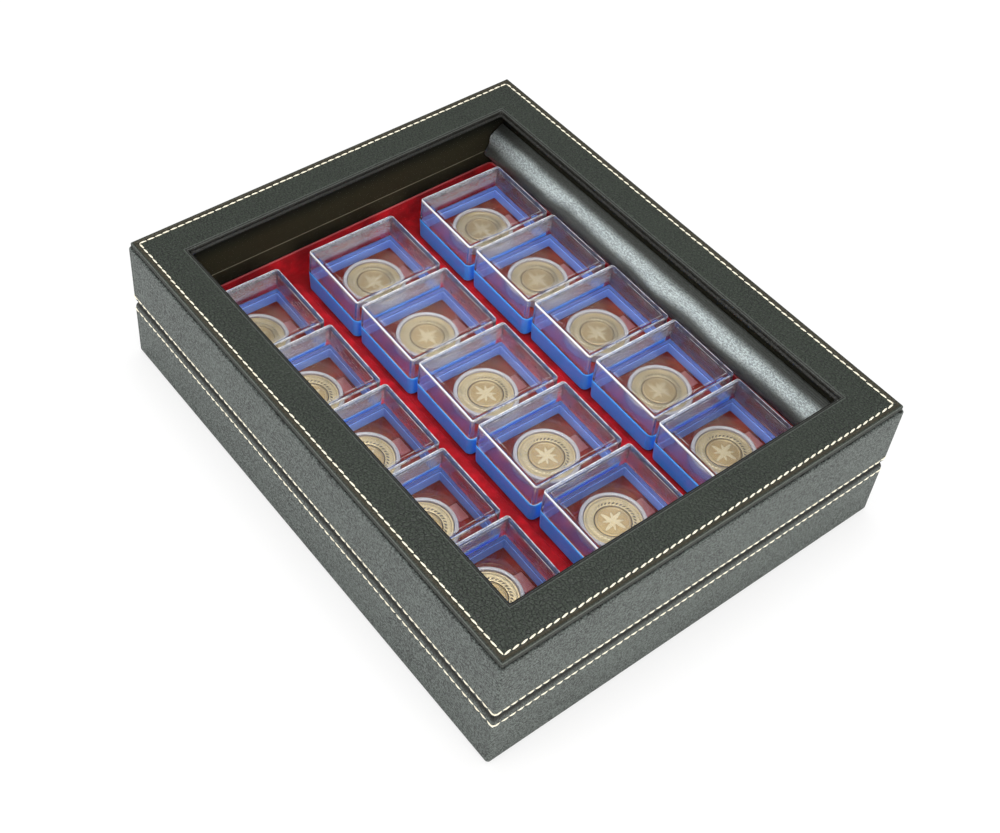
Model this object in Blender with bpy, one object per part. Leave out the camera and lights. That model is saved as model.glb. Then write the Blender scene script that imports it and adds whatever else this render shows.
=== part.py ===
"""Coin display case with a hinged window lid, a flocked tray and fifteen clear-topped coin boxes.

Units are metres. +X runs along the length of the case, -Y is the opening side, +Y the hinge side
and +Z is up. The origin is the middle of the underside.
"""

import math

import bmesh
import bpy
from mathutils import Matrix, Vector

MM = 0.001

# The whole case, measured over the walls
CASE_LENGTH = 284 * MM
CASE_DEPTH = 232 * MM
CASE_HEIGHT = 75 * MM
SEAM_HEIGHT = 35.2 * MM
FRAME_SETBACK = 1 * MM

# Boards and linings
WALL = 7 * MM
LINING = 1.7 * MM
TOP_BOARD = 3 * MM
BOTTOM_BOARD = 4 * MM
BOTTOM_SHEET = 0.7 * MM
PANE = 2 * MM
WINDOW_BORDER = 22.2 * MM
WINDOW_LIP = 1.2 * MM
WINDOW_LIP_HEIGHT = 0.9 * MM
SEAT_GAP = 0.3 * MM
PANE_CLEARANCE = 0.5 * MM
LINING_RISE = 3.1 * MM

# Rounded edges of the covered boards
CORNER_RADIUS = 3.7 * MM
INNER_CORNER_RADIUS = 1 * MM
SEAM_ROLL = 3.3 * MM
BOARD_EDGE = 1 * MM

# Tray and the spacer frame that carries it
SPACER_HEIGHT = 9.9 * MM
SPACER_BAR = 9 * MM
SPACER_CORNER = 1.5 * MM
TRAY_SIDE_CLEARANCE = 0.5 * MM
TRAY_GUSSET_SPACE = 5.5 * MM
TRAY_FLOOR = 2 * MM
TRAY_WALL = 1.5 * MM
TRAY_INNER_DEPTH = 12.5 * MM
TRAY_CORNER = 3 * MM
TRAY_COVE = 1.6 * MM
RIB_HEIGHT = 2 * MM
RIB_END_SPACE = 9.5 * MM
RIB_END_RADIUS = 3 * MM
RIB_ROOT = 0.8 * MM
BOX_SIDE_CLEARANCE = 1.8 * MM

# Where the boxes stand, from the inner faces of the tray's walls
ROW_COUNT = 5
COLUMN_NAMES = ("front", "middle", "back")
ROWS_LEFT_SPACE = 13.5 * MM
ROWS_RIGHT_SPACE = 17.5 * MM
COLUMNS_FRONT_SPACE = 2.6 * MM
COLUMNS_BACK_SPACE = 8 * MM
BOX_GAP = 0.9 * MM
COLUMN_GAP = 18.15 * MM

# The boxes are put in by hand, so each stands a little off its place and a little turned
ROW_PLAY = 0.4 * MM
COLUMN_PLAY = 1 * MM
TURN_PLAY = math.radians(1.0)
MEAN_TURN = math.radians(-1.5)
PLACE_X_SHARES = ((0.2, 0.5, 0.5, -0.3, 0.0), (0.2, -0.2, -0.3, -0.2, 0.3), (0.0, 0.1, -0.4, -0.3, 0.1))
PLACE_Y_SHARES = ((0.6, 0.7, 0.4, -0.9, -0.6), (0.2, -0.2, 0.2, -0.3, 0.2), (-0.2, 0.0, 0.7, 0.5, -0.9))
TURN_SHARES = ((0.1, -0.2, 0.2, 0.3, 0.0), (0.2, 0.0, -0.3, -0.1, 0.2), (-0.2, 0.1, -0.2, 0.2, 0.3))

# Blue base of a coin box
BOX_CORNER = 3.6 * MM
BASE_HEIGHT = 11.7 * MM
BASE_DRAFT = 0.7 * MM
FOOT_EDGE = 0.8 * MM
RIM_WALL = 1 * MM
RIM_ROUND = 0.5 * MM
BASE_WALL = 2.6 * MM
COVER_SEAT_DEPTH = 2.5 * MM
BOX_FLOOR = 1.6 * MM
PAD = 3.1 * MM
CAPSULE_SEAT_DEPTH = 1 * MM
NOTCH_WIDTH = 10 * MM
NOTCH_DEPTH = 0.7 * MM
NOTCH_OVERLAP = 1.75 * MM
NOTCH_END_SPACE = 1.6 * MM

# Clear cover of a coin box, whose skirt goes into the rim and whose walls stand over it
COVER_HEIGHT = 15.5 * MM
COVER_WALL = 1.8 * MM
COVER_TOP = 1.8 * MM
COVER_SETBACK = 0.5 * MM
COVER_DRAFT = 0.3 * MM
COVER_EDGE = 0.7 * MM
COVER_CLEARANCE = 0.3 * MM

# Coin in its capsule
CAPSULE_SIDE_SPACE = 4.3 * MM
CAPSULE_THICKNESS = 5.5 * MM
CAPSULE_EDGE = 0.8 * MM
CAPSULE_RIM = 1.8 * MM
COIN_RIM = 1.3 * MM
COIN_RIM_HEIGHT = 0.25 * MM
COIN_SINK = 1 * MM
COIN_SHARE = 0.865
COIN_CORE_SHARE = 0.631

# Satin gusset over the hinge side
GUSSET_TOP = 54 * MM
GUSSET_FOOT = 27 * MM
GUSSET_BULGE = 7.2 * MM
GUSSET_TUCK = 4.6 * MM
GUSSET_PUCKER = 0.5 * MM
GUSSET_PUCKER_LENGTHS = (63 * MM, 23 * MM)
GUSSET_STATIONS = 31
GUSSET_STEPS = 10

# Two butt hinges let into the seam
HINGE_END_SPACE = 47 * MM
HINGE_LENGTH = 30 * MM
MIDDLE_KNUCKLE = 10 * MM
KNUCKLE_RADIUS = 1.6 * MM
KNUCKLE_INSET = 1.7 * MM
PIN_RADIUS = 0.8 * MM
LEAF = 0.9 * MM
LEAF_HEIGHT = 12 * MM
LEAF_SEAM_GAP = 0.25 * MM
LEAF_INSET = 0.05 * MM
CUT_OVERRUN = 3 * MM

# Facets
CASE_CORNER_STEPS = 4
BOX_CORNER_STEPS = 3
EDGE_STEPS = 3
SEAT_SIDES = 4 * (BOX_CORNER_STEPS + 1)
CAPSULE_SIDES = 20
KNUCKLE_SIDES = 16

# Heights that follow from the stack
FRAME_BOTTOM = CASE_HEIGHT - TOP_BOARD
WALL_TOP = FRAME_BOTTOM - SEAT_GAP
WALL_BOTTOM = BOTTOM_SHEET + SEAT_GAP
BASE_TOP = SEAM_HEIGHT - SEAT_GAP / 2
LID_BOTTOM = SEAM_HEIGHT + SEAT_GAP / 2
BOARD_TOP = WALL_BOTTOM + BOTTOM_BOARD
LINING_BOTTOM = BOARD_TOP + SEAT_GAP
PANE_BOTTOM = WALL_TOP - PANE
LINING_JOINT = SEAM_HEIGHT + LINING_RISE
TRAY_BOTTOM = LINING_BOTTOM + SPACER_HEIGHT + SEAT_GAP
TRAY_TOP_OF_FLOOR = TRAY_BOTTOM + TRAY_FLOOR
TRAY_RIM = TRAY_TOP_OF_FLOOR + TRAY_INNER_DEPTH
BOX_BOTTOM = TRAY_TOP_OF_FLOOR + SEAT_GAP
COVER_SEAT = BASE_HEIGHT - COVER_SEAT_DEPTH
GUSSET_LOW = TRAY_RIM + 2 * SEAT_GAP
PAD_TOP = BOX_FLOOR + PAD

# Plan sizes that follow
CAVITY_LENGTH = CASE_LENGTH - 2 * WALL
CAVITY_DEPTH = CASE_DEPTH - 2 * WALL
CLEAR_LENGTH = CAVITY_LENGTH - 2 * (SEAT_GAP + LINING)
CLEAR_DEPTH = CAVITY_DEPTH - 2 * (SEAT_GAP + LINING)
TRAY_LENGTH = CLEAR_LENGTH - 2 * TRAY_SIDE_CLEARANCE
TRAY_DEPTH = CLEAR_DEPTH - TRAY_SIDE_CLEARANCE - TRAY_GUSSET_SPACE
TRAY_CENTRE_Y = (TRAY_SIDE_CLEARANCE - TRAY_GUSSET_SPACE) / 2
ROWS_LENGTH = TRAY_LENGTH - 2 * TRAY_WALL - ROWS_LEFT_SPACE - ROWS_RIGHT_SPACE
ROWS_CENTRE_X = (ROWS_LEFT_SPACE - ROWS_RIGHT_SPACE) / 2
ROW_PITCH = ROWS_LENGTH / ROW_COUNT
COLUMNS_DEPTH = TRAY_DEPTH - 2 * TRAY_WALL - COLUMNS_FRONT_SPACE - COLUMNS_BACK_SPACE
COLUMNS_CENTRE_Y = TRAY_CENTRE_Y + (COLUMNS_FRONT_SPACE - COLUMNS_BACK_SPACE) / 2
COLUMN_PITCH = (COLUMNS_DEPTH + COLUMN_GAP) / len(COLUMN_NAMES)
RIB_WIDTH = COLUMN_GAP - 2 * BOX_SIDE_CLEARANCE
HINGE_AXIS_Y = CASE_DEPTH / 2 - KNUCKLE_INSET
HINGE_SPACING = CASE_LENGTH - 2 * HINGE_END_SPACE - HINGE_LENGTH

# Box sizes that follow
BOX_LENGTH = ROW_PITCH - BOX_GAP
BOX_WIDTH = COLUMN_PITCH - COLUMN_GAP
CAPSULE_DIAMETER = BOX_LENGTH - 2 * (BASE_WALL + CAPSULE_SIDE_SPACE)
COIN_DIAMETER = CAPSULE_DIAMETER * COIN_SHARE
COIN_CORE_DIAMETER = COIN_DIAMETER * COIN_CORE_SHARE


def clear_scene():
    """Remove every object that is already in the scene."""
    for item in list(bpy.data.objects):
        bpy.data.objects.remove(item, do_unlink=True)


def make_material(name, colour, roughness, metallic=0.0, transmission=0.0):
    """A Principled material with one colour and finish."""
    material = bpy.data.materials.new(name)
    material.use_nodes = True
    shader = material.node_tree.nodes["Principled BSDF"]
    shader.inputs["Base Color"].default_value = (*colour, 1.0)
    shader.inputs["Roughness"].default_value = roughness
    shader.inputs["Metallic"].default_value = metallic
    shader.inputs["Transmission Weight"].default_value = transmission
    return material


def make_object(name, mesh, material, location=(0, 0, 0), turn=0.0):
    """Link an object that shows the mesh in the given material."""
    item = bpy.data.objects.new(name, mesh)
    item.location = location
    item.rotation_euler = (0, 0, turn)
    if not mesh.materials:
        mesh.materials.append(material)
    bpy.context.scene.collection.objects.link(item)
    return item


def finish_mesh(name, shape):
    """Turn a bmesh into a mesh with its faces pointing out and its round faces smooth."""
    bmesh.ops.recalc_face_normals(shape, faces=shape.faces[:])
    mesh = bpy.data.meshes.new(name)
    shape.to_mesh(mesh)
    shape.free()
    mesh.shade_smooth()
    mesh.set_sharp_from_angle(angle=math.radians(35))
    return mesh


def rounded_outline(length, width, radius, steps, height, centre_y=0.0):
    """Points of a rectangle with rounded corners, anticlockwise as seen from above."""
    points = []
    for quarter, (sign_x, sign_y) in enumerate(((1, 1), (-1, 1), (-1, -1), (1, -1))):
        corner_x = sign_x * (length / 2 - radius)
        corner_y = sign_y * (width / 2 - radius) + centre_y
        for step in range(steps + 1):
            angle = math.pi / 2 * (quarter + step / steps)
            x = corner_x + radius * math.cos(angle)
            y = corner_y + radius * math.sin(angle)
            points.append(Vector((x, y, height)))
    return points


def box_outline(inset, height):
    """Outline of a coin box drawn in by the given distance."""
    length = BOX_LENGTH - 2 * inset
    width = BOX_WIDTH - 2 * inset
    return rounded_outline(length, width, BOX_CORNER - inset, BOX_CORNER_STEPS, height)


def eased_inset(radius):
    """How far in and down the middle of a rounded edge lies from its corner."""
    return radius * (1 - math.sqrt(0.5))


def circle_outline(radius, sides, height, start=0.0):
    """Points of a circle round the Z axis, anticlockwise as seen from above."""
    points = []
    for side in range(sides):
        angle = start + 2 * math.pi * side / sides
        points.append(Vector((radius * math.cos(angle), radius * math.sin(angle), height)))
    return points


def loft(name, outlines, closed_ring=False):
    """Skin outlines of equal point count, capped at both ends or joined into a closed ring."""
    shape = bmesh.new()
    rings = [[shape.verts.new(point) for point in outline] for outline in outlines]
    pairs = list(zip(rings, rings[1:]))
    if closed_ring:
        pairs.append((rings[-1], rings[0]))
    else:
        shape.faces.new(rings[0])
        shape.faces.new(rings[-1])
    count = len(rings[0])
    for lower, upper in pairs:
        for index in range(count):
            after = (index + 1) % count
            shape.faces.new((lower[index], lower[after], upper[after], upper[index]))
    return finish_mesh(name, shape)


def prism(name, profile, start_x, end_x):
    """Extrude a profile of (y, z) points along X."""
    shape = bmesh.new()
    verts = [shape.verts.new((start_x, y, z)) for y, z in profile]
    face = shape.faces.new(verts)
    moved = bmesh.ops.extrude_face_region(shape, geom=[face])["geom"]
    new_verts = [part for part in moved if isinstance(part, bmesh.types.BMVert)]
    bmesh.ops.translate(shape, verts=new_verts, vec=(end_x - start_x, 0, 0))
    return finish_mesh(name, shape)


def hinge_rod(name, radius, start_x, end_x):
    """A round bar on the hinge axis."""
    shape = bmesh.new()
    middle = Vector(((start_x + end_x) / 2, HINGE_AXIS_Y, SEAM_HEIGHT))
    place = Matrix.Translation(middle) @ Matrix.Rotation(math.pi / 2, 4, "Y")
    bmesh.ops.create_cone(
        shape, cap_ends=True, segments=KNUCKLE_SIDES, radius1=radius, radius2=radius,
        depth=end_x - start_x, matrix=place,
    )
    return finish_mesh(name, shape)


def block(name, low, high):
    """A rectangular block between two corners."""
    shape = bmesh.new()
    middle = [(a + b) / 2 for a, b in zip(low, high)]
    size = [b - a for a, b in zip(low, high)]
    place = Matrix.Translation(middle) @ Matrix.Diagonal((*size, 1.0))
    bmesh.ops.create_cube(shape, size=1.0, matrix=place)
    return finish_mesh(name, shape)


def combine(item, mesh, operation):
    """Join a mesh to an object, or cut it out, through an exact Boolean."""
    tool = bpy.data.objects.new(mesh.name, mesh)
    tool.hide_render = True
    tool.display_type = "WIRE"
    attach(tool, item.parent)
    bpy.context.scene.collection.objects.link(tool)
    modifier = item.modifiers.new(mesh.name, "BOOLEAN")
    modifier.operation = operation
    modifier.solver = "EXACT"
    modifier.object = tool


def baked_mesh(item):
    """The object's mesh with its modifiers worked in, for copies to share."""
    bpy.context.view_layer.update()
    evaluated = item.evaluated_get(bpy.context.evaluated_depsgraph_get())
    mesh = bpy.data.meshes.new_from_object(evaluated)
    tools = [modifier.object for modifier in item.modifiers]
    for part in (item, *tools):
        bpy.data.objects.remove(part, do_unlink=True)
    return mesh


def inset_outline(inset, height):
    """Outline of the covered walls, drawn in by the given distance."""
    length = CASE_LENGTH - 2 * inset
    depth = CASE_DEPTH - 2 * inset
    return rounded_outline(length, depth, CORNER_RADIUS - inset, CASE_CORNER_STEPS, height)


def cavity_outline(height):
    """Outline of the inner faces of the walls."""
    radius = INNER_CORNER_RADIUS
    return rounded_outline(CAVITY_LENGTH, CAVITY_DEPTH, radius, CASE_CORNER_STEPS, height)


def rolled_edge(radius, height, direction):
    """Wall outlines round a rolled outer edge; direction is +1 at a top edge and -1 at a bottom edge."""
    outlines = []
    for step in range(EDGE_STEPS + 1):
        angle = math.pi / 2 * step / EDGE_STEPS
        inset = radius * (1 - math.cos(angle))
        outlines.append(inset_outline(inset, height - direction * radius * (1 - math.sin(angle))))
    return outlines


def hinge_places():
    """Names and centres of the two hinges along X."""
    return (("left", -HINGE_SPACING / 2), ("right", HINGE_SPACING / 2))


def leaf_profile(side, clearance=0.0):
    """Angle section of a hinge leaf; side is -1 for the lower leaf and +1 for the upper one."""
    inner = CAVITY_DEPTH / 2 + LEAF_INSET - clearance
    web_end = HINGE_AXIS_Y - KNUCKLE_RADIUS - SEAT_GAP
    near = SEAM_HEIGHT + side * LEAF_SEAM_GAP
    far = near + side * (LEAF + clearance)
    tip = near + side * (LEAF_HEIGHT + clearance)
    flange = inner + LEAF + 2 * clearance
    web = [(inner, near), (web_end + clearance, near), (web_end + clearance, far)]
    return [*web, (flange, far), (flange, tip), (inner, tip)]


def cut_hinge_mortises(walls, side):
    """Let the hinges into the back wall, leaving clearance round leaves and knuckles."""
    for name, centre in hinge_places():
        start = centre - HINGE_LENGTH / 2 - SEAT_GAP
        end = centre + HINGE_LENGTH / 2 + SEAT_GAP
        profile = leaf_profile(side, SEAT_GAP)
        inner = profile[0][0] - CUT_OVERRUN
        outer = HINGE_AXIS_Y - KNUCKLE_RADIUS / 2
        edge = SEAM_HEIGHT - side * CUT_OVERRUN
        pocket = [(inner, edge), (outer, edge), (outer, profile[2][1])]
        opened = [*pocket, *profile[3:5], (inner, profile[5][1])]
        combine(walls, prism(f"cut_leaf_{name}_{side}", opened, start, end), "DIFFERENCE")
        knuckle = hinge_rod(f"cut_knuckle_{name}_{side}", KNUCKLE_RADIUS + SEAT_GAP, start, end)
        combine(walls, knuckle, "DIFFERENCE")


def build_base_walls(material):
    """Four covered walls of the base, with a rolled upper edge and the hinge mortises."""
    outlines = [inset_outline(BOARD_EDGE, WALL_BOTTOM), inset_outline(0, WALL_BOTTOM + BOARD_EDGE)]
    outlines += rolled_edge(SEAM_ROLL, BASE_TOP, 1)
    outlines += [cavity_outline(BASE_TOP), cavity_outline(WALL_BOTTOM)]
    walls = make_object("base_walls", loft("base_walls", outlines, closed_ring=True), material)
    cut_hinge_mortises(walls, -1)


def build_base_bottom(board_material, sheet_material):
    """The bottom board between the walls and the covering sheet that the case stands on."""
    length = CAVITY_LENGTH - 2 * SEAT_GAP
    depth = CAVITY_DEPTH - 2 * SEAT_GAP
    radius = INNER_CORNER_RADIUS
    steps = CASE_CORNER_STEPS
    board = [rounded_outline(length, depth, radius, steps, z) for z in (WALL_BOTTOM, BOARD_TOP)]
    make_object("base_bottom_board", loft("base_bottom_board", board), board_material)
    sheet = [inset_outline(BOARD_EDGE, z) for z in (0, BOTTOM_SHEET)]
    make_object("base_bottom_sheet", loft("base_bottom_sheet", sheet), sheet_material)


def build_lining(name, bottom, top, material, parent=None):
    """A lining ring that stands inside the walls."""
    outer_length = CAVITY_LENGTH - 2 * SEAT_GAP
    outer_depth = CAVITY_DEPTH - 2 * SEAT_GAP
    radius = INNER_CORNER_RADIUS
    steps = CASE_CORNER_STEPS
    outlines = [rounded_outline(outer_length, outer_depth, radius, steps, z) for z in (bottom, top)]
    outlines += [rounded_outline(CLEAR_LENGTH, CLEAR_DEPTH, radius, steps, z) for z in (top, bottom)]
    lining = make_object(name, loft(name, outlines, closed_ring=True), material)
    attach(lining, parent)


def build_spacer(material):
    """A frame with two cross bars that carries the tray above the bottom board."""
    length = CLEAR_LENGTH - 2 * TRAY_SIDE_CLEARANCE
    depth = CLEAR_DEPTH - 2 * TRAY_SIDE_CLEARANCE
    top = LINING_BOTTOM + SPACER_HEIGHT
    outlines = []
    for height in (LINING_BOTTOM, top):
        outlines.append(rounded_outline(length, depth, SPACER_CORNER, BOX_CORNER_STEPS, height))
    spacer = make_object("tray_spacer", loft("tray_spacer", outlines), material)
    bay = (length - (len(COLUMN_NAMES) + 1) * SPACER_BAR) / len(COLUMN_NAMES)
    for index in range(len(COLUMN_NAMES)):
        start = -length / 2 + SPACER_BAR + index * (bay + SPACER_BAR)
        low = (start, SPACER_BAR - depth / 2, LINING_BOTTOM - CUT_OVERRUN)
        high = (start + bay, depth / 2 - SPACER_BAR, top + CUT_OVERRUN)
        combine(spacer, block(f"cut_bay_{index}", low, high), "DIFFERENCE")


def tray_outline(inset, height):
    """Outline of the tray, drawn in by the given distance."""
    length = TRAY_LENGTH - 2 * inset
    depth = TRAY_DEPTH - 2 * inset
    return rounded_outline(length, depth, TRAY_CORNER - inset, CASE_CORNER_STEPS, height, TRAY_CENTRE_Y)


def build_tray(material):
    """The flocked tray: four low walls, a coved floor and two low ribs between the columns."""
    rim_round = TRAY_WALL / 2
    floor_inset = TRAY_WALL + TRAY_COVE / 2
    outlines = [
        tray_outline(0, TRAY_BOTTOM),
        tray_outline(0, TRAY_RIM - rim_round),
        tray_outline(rim_round / 2, TRAY_RIM),
        tray_outline(TRAY_WALL - rim_round / 2, TRAY_RIM),
        tray_outline(TRAY_WALL, TRAY_RIM - rim_round),
        tray_outline(TRAY_WALL, TRAY_TOP_OF_FLOOR + TRAY_COVE),
        tray_outline(floor_inset, TRAY_TOP_OF_FLOOR),
    ]
    tray = make_object("coin_tray", loft("coin_tray", outlines), material)
    length = TRAY_LENGTH - 2 * (TRAY_WALL + RIB_END_SPACE)
    for side in (-1, 1):
        centre = COLUMNS_CENTRE_Y + side * COLUMN_PITCH / 2
        root = TRAY_TOP_OF_FLOOR - TRAY_FLOOR / 2
        crest = TRAY_TOP_OF_FLOOR + RIB_HEIGHT
        rib = []
        for inset, height in ((0, root), (0, crest - RIB_ROOT), (RIB_ROOT, crest)):
            size = (length - 2 * inset, RIB_WIDTH - 2 * inset)
            radius = RIB_END_RADIUS - inset
            rib.append(rounded_outline(*size, radius, BOX_CORNER_STEPS, height, centre))
        combine(tray, loft(f"join_rib_{side}", rib), "UNION")


def build_box_base_mesh():
    """The moulded base with its stepped rim, velour pad, capsule seat and finger notch."""
    seat_radius = (CAPSULE_DIAMETER / 2 + SEAT_GAP) / math.cos(math.pi / SEAT_SIDES)
    seat_start = math.pi / SEAT_SIDES
    eased = eased_inset(RIM_ROUND)
    outlines = [
        box_outline(BASE_DRAFT + FOOT_EDGE, 0),
        box_outline(BASE_DRAFT, FOOT_EDGE),
        box_outline(0, BASE_HEIGHT - RIM_ROUND),
        box_outline(eased, BASE_HEIGHT - eased),
        box_outline(RIM_ROUND, BASE_HEIGHT),
        box_outline(RIM_WALL, BASE_HEIGHT),
        box_outline(RIM_WALL, COVER_SEAT),
        box_outline(BASE_WALL, COVER_SEAT),
        box_outline(BASE_WALL, PAD_TOP),
        circle_outline(seat_radius, SEAT_SIDES, PAD_TOP, seat_start),
        circle_outline(seat_radius, SEAT_SIDES, PAD_TOP - CAPSULE_SEAT_DEPTH, seat_start),
    ]
    base = bpy.data.objects.new("box_base_pattern", loft("box_base_pattern", outlines))
    bpy.context.scene.collection.objects.link(base)
    low = (-NOTCH_WIDTH / 2, CAPSULE_DIAMETER / 2 - NOTCH_OVERLAP, PAD_TOP - NOTCH_DEPTH)
    high = (NOTCH_WIDTH / 2, BOX_WIDTH / 2 - BASE_WALL - NOTCH_END_SPACE, PAD_TOP + CUT_OVERRUN)
    combine(base, block("cut_notch", low, high), "DIFFERENCE")
    return baked_mesh(base)


def build_box_cover_mesh():
    """The clear cover, open below: a skirt that fits the rim, a shoulder and drafted walls."""
    skirt = RIM_WALL + COVER_CLEARANCE
    top = COVER_SETBACK + COVER_DRAFT
    eased = eased_inset(COVER_EDGE)
    outlines = [
        box_outline(top + COVER_WALL, COVER_HEIGHT - COVER_TOP),
        box_outline(COVER_SETBACK + COVER_WALL, 0),
        box_outline(skirt, 0),
        box_outline(skirt, COVER_SEAT_DEPTH),
        box_outline(COVER_SETBACK, COVER_SEAT_DEPTH),
        box_outline(top, COVER_HEIGHT - COVER_EDGE),
        box_outline(top + eased, COVER_HEIGHT - eased),
        box_outline(top + COVER_EDGE, COVER_HEIGHT),
    ]
    return loft("box_cover", outlines)


def build_capsule_mesh():
    """A coin with a raised rim and core, held in the rim of its round capsule."""
    radius = CAPSULE_DIAMETER / 2
    coin = COIN_DIAMETER / 2
    face = CAPSULE_THICKNESS - COIN_SINK
    profile = [
        (radius - CAPSULE_EDGE, 0),
        (radius, CAPSULE_EDGE),
        (radius, CAPSULE_THICKNESS - CAPSULE_EDGE),
        (radius - CAPSULE_EDGE, CAPSULE_THICKNESS),
        (radius - CAPSULE_RIM, CAPSULE_THICKNESS),
        (coin, face + COIN_RIM_HEIGHT),
        (coin - COIN_RIM, face + COIN_RIM_HEIGHT),
        (coin - COIN_RIM, face),
        (COIN_CORE_DIAMETER / 2, face),
        (COIN_CORE_DIAMETER / 2 - COIN_RIM_HEIGHT, face + COIN_RIM_HEIGHT),
    ]
    return loft("coin_capsule", [circle_outline(r, CAPSULE_SIDES, z) for r, z in profile])


def box_places():
    """Name, position and turn of every coin box."""
    places = []
    middle_row = (ROW_COUNT - 1) / 2
    for column, column_name in enumerate(COLUMN_NAMES):
        for row in range(ROW_COUNT):
            x = ROWS_CENTRE_X + (row - middle_row) * ROW_PITCH
            y = COLUMNS_CENTRE_Y + (column - 1) * COLUMN_PITCH
            x += PLACE_X_SHARES[column][row] * ROW_PLAY
            y += PLACE_Y_SHARES[column][row] * COLUMN_PLAY
            turn = MEAN_TURN + TURN_SHARES[column][row] * TURN_PLAY
            places.append((f"{column_name}_{row + 1}", x, y, turn))
    return places


def build_boxes(base_material, cover_material, coin_material):
    """Fifteen coin boxes, each a base, a cover and a coin in its capsule."""
    base_mesh = build_box_base_mesh()
    cover_mesh = build_box_cover_mesh()
    capsule_mesh = build_capsule_mesh()
    cover_bottom = BOX_BOTTOM + COVER_SEAT + SEAT_GAP
    capsule_bottom = BOX_BOTTOM + PAD_TOP - CAPSULE_SEAT_DEPTH + SEAT_GAP
    for name, x, y, turn in box_places():
        make_object(f"box_base_{name}", base_mesh, base_material, (x, y, BOX_BOTTOM), turn)
        make_object(f"box_cover_{name}", cover_mesh, cover_material, (x, y, cover_bottom), turn)
        make_object(f"coin_capsule_{name}", capsule_mesh, coin_material, (x, y, capsule_bottom), turn)


def gusset_section(x):
    """Section of the gusset at one station: a roll that swells from the lid down into its tuck."""
    lining_face = CLEAR_DEPTH / 2 - SEAT_GAP
    long_wave, short_wave = GUSSET_PUCKER_LENGTHS
    pucker = math.sin(2 * math.pi * x / long_wave) + math.sin(2 * math.pi * x / short_wave)
    bulge = GUSSET_BULGE + GUSSET_PUCKER * pucker / 2
    points = []
    for step in range(GUSSET_STEPS + 1):
        share = step / GUSSET_STEPS
        depth = SEAT_GAP + GUSSET_TUCK * share + bulge * math.sin(math.pi * share)
        drop = share - math.sin(2 * math.pi * share) / (6 * math.pi)
        points.append(Vector((x, lining_face - depth, GUSSET_TOP + (GUSSET_LOW - GUSSET_TOP) * drop)))
    points.append(Vector((x, lining_face - SEAT_GAP - GUSSET_TUCK, GUSSET_FOOT)))
    points.append(Vector((x, lining_face, GUSSET_FOOT)))
    points.append(Vector((x, lining_face, GUSSET_TOP)))
    return points


def build_gusset(material):
    """The satin gusset along the whole hinge side."""
    half = CLEAR_LENGTH / 2 - TRAY_SIDE_CLEARANCE
    stations = [half * (2 * index / (GUSSET_STATIONS - 1) - 1) for index in range(GUSSET_STATIONS)]
    make_object("satin_gusset", loft("satin_gusset", [gusset_section(x) for x in stations]), material)


def knuckle_spans(side):
    """Where the knuckles of a leaf lie along the hinge, from its centre."""
    half = HINGE_LENGTH / 2
    middle = MIDDLE_KNUCKLE / 2
    if side > 0:
        return [(-middle, middle)]
    return [(-half, -middle - SEAT_GAP), (middle + SEAT_GAP, half)]


def build_leaf(name, centre, side, material, parent=None):
    """One hinge leaf: an angle let into the wall, its straps and its knuckles."""
    start = centre - HINGE_LENGTH / 2
    end = centre + HINGE_LENGTH / 2
    profile = leaf_profile(side)
    leaf = make_object(name, prism(name, profile, start, end), material)
    attach(leaf, parent)
    near = SEAM_HEIGHT + side * LEAF_SEAM_GAP
    low_z, high_z = sorted((near, near + side * LEAF))
    for index, (first, last) in enumerate(knuckle_spans(side)):
        strap = block(f"join_strap_{name}_{index}", (centre + first, CAVITY_DEPTH / 2 + LEAF, low_z),
                      (centre + last, HINGE_AXIS_Y, high_z))
        combine(leaf, strap, "UNION")
        knuckle_name = f"join_knuckle_{name}_{index}"
        knuckle = hinge_rod(knuckle_name, KNUCKLE_RADIUS, centre + first, centre + last)
        combine(leaf, knuckle, "UNION")
    if side > 0:
        bore = hinge_rod(f"cut_bore_{name}", PIN_RADIUS + SEAT_GAP, start, end)
        combine(leaf, bore, "DIFFERENCE")
    else:
        edge = HINGE_LENGTH / 2 - LEAF
        pin = hinge_rod(f"join_pin_{name}", PIN_RADIUS, centre - edge, centre + edge)
        combine(leaf, pin, "UNION")


def attach(item, parent):
    """Parent an object to an empty without moving it."""
    if parent is not None:
        item.parent = parent
        item.matrix_parent_inverse = Matrix.Translation(parent.location).inverted()


def make_hinge_axis():
    """An empty on the hinge axis, which carries the lid."""
    axis = bpy.data.objects.new("lid_hinge_axis", None)
    axis.location = (0, HINGE_AXIS_Y, SEAM_HEIGHT)
    bpy.context.scene.collection.objects.link(axis)
    return axis


def build_lid_walls(material, axis):
    """Four covered walls of the lid, with a rolled lower edge and the hinge mortises."""
    outlines = rolled_edge(SEAM_ROLL, LID_BOTTOM, -1)[::-1]
    outlines += [inset_outline(0, WALL_TOP - BOARD_EDGE), inset_outline(BOARD_EDGE, WALL_TOP)]
    outlines += [cavity_outline(WALL_TOP), cavity_outline(LID_BOTTOM)]
    walls = make_object("lid_walls", loft("lid_walls", outlines, closed_ring=True), material)
    attach(walls, axis)
    cut_hinge_mortises(walls, 1)


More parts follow.
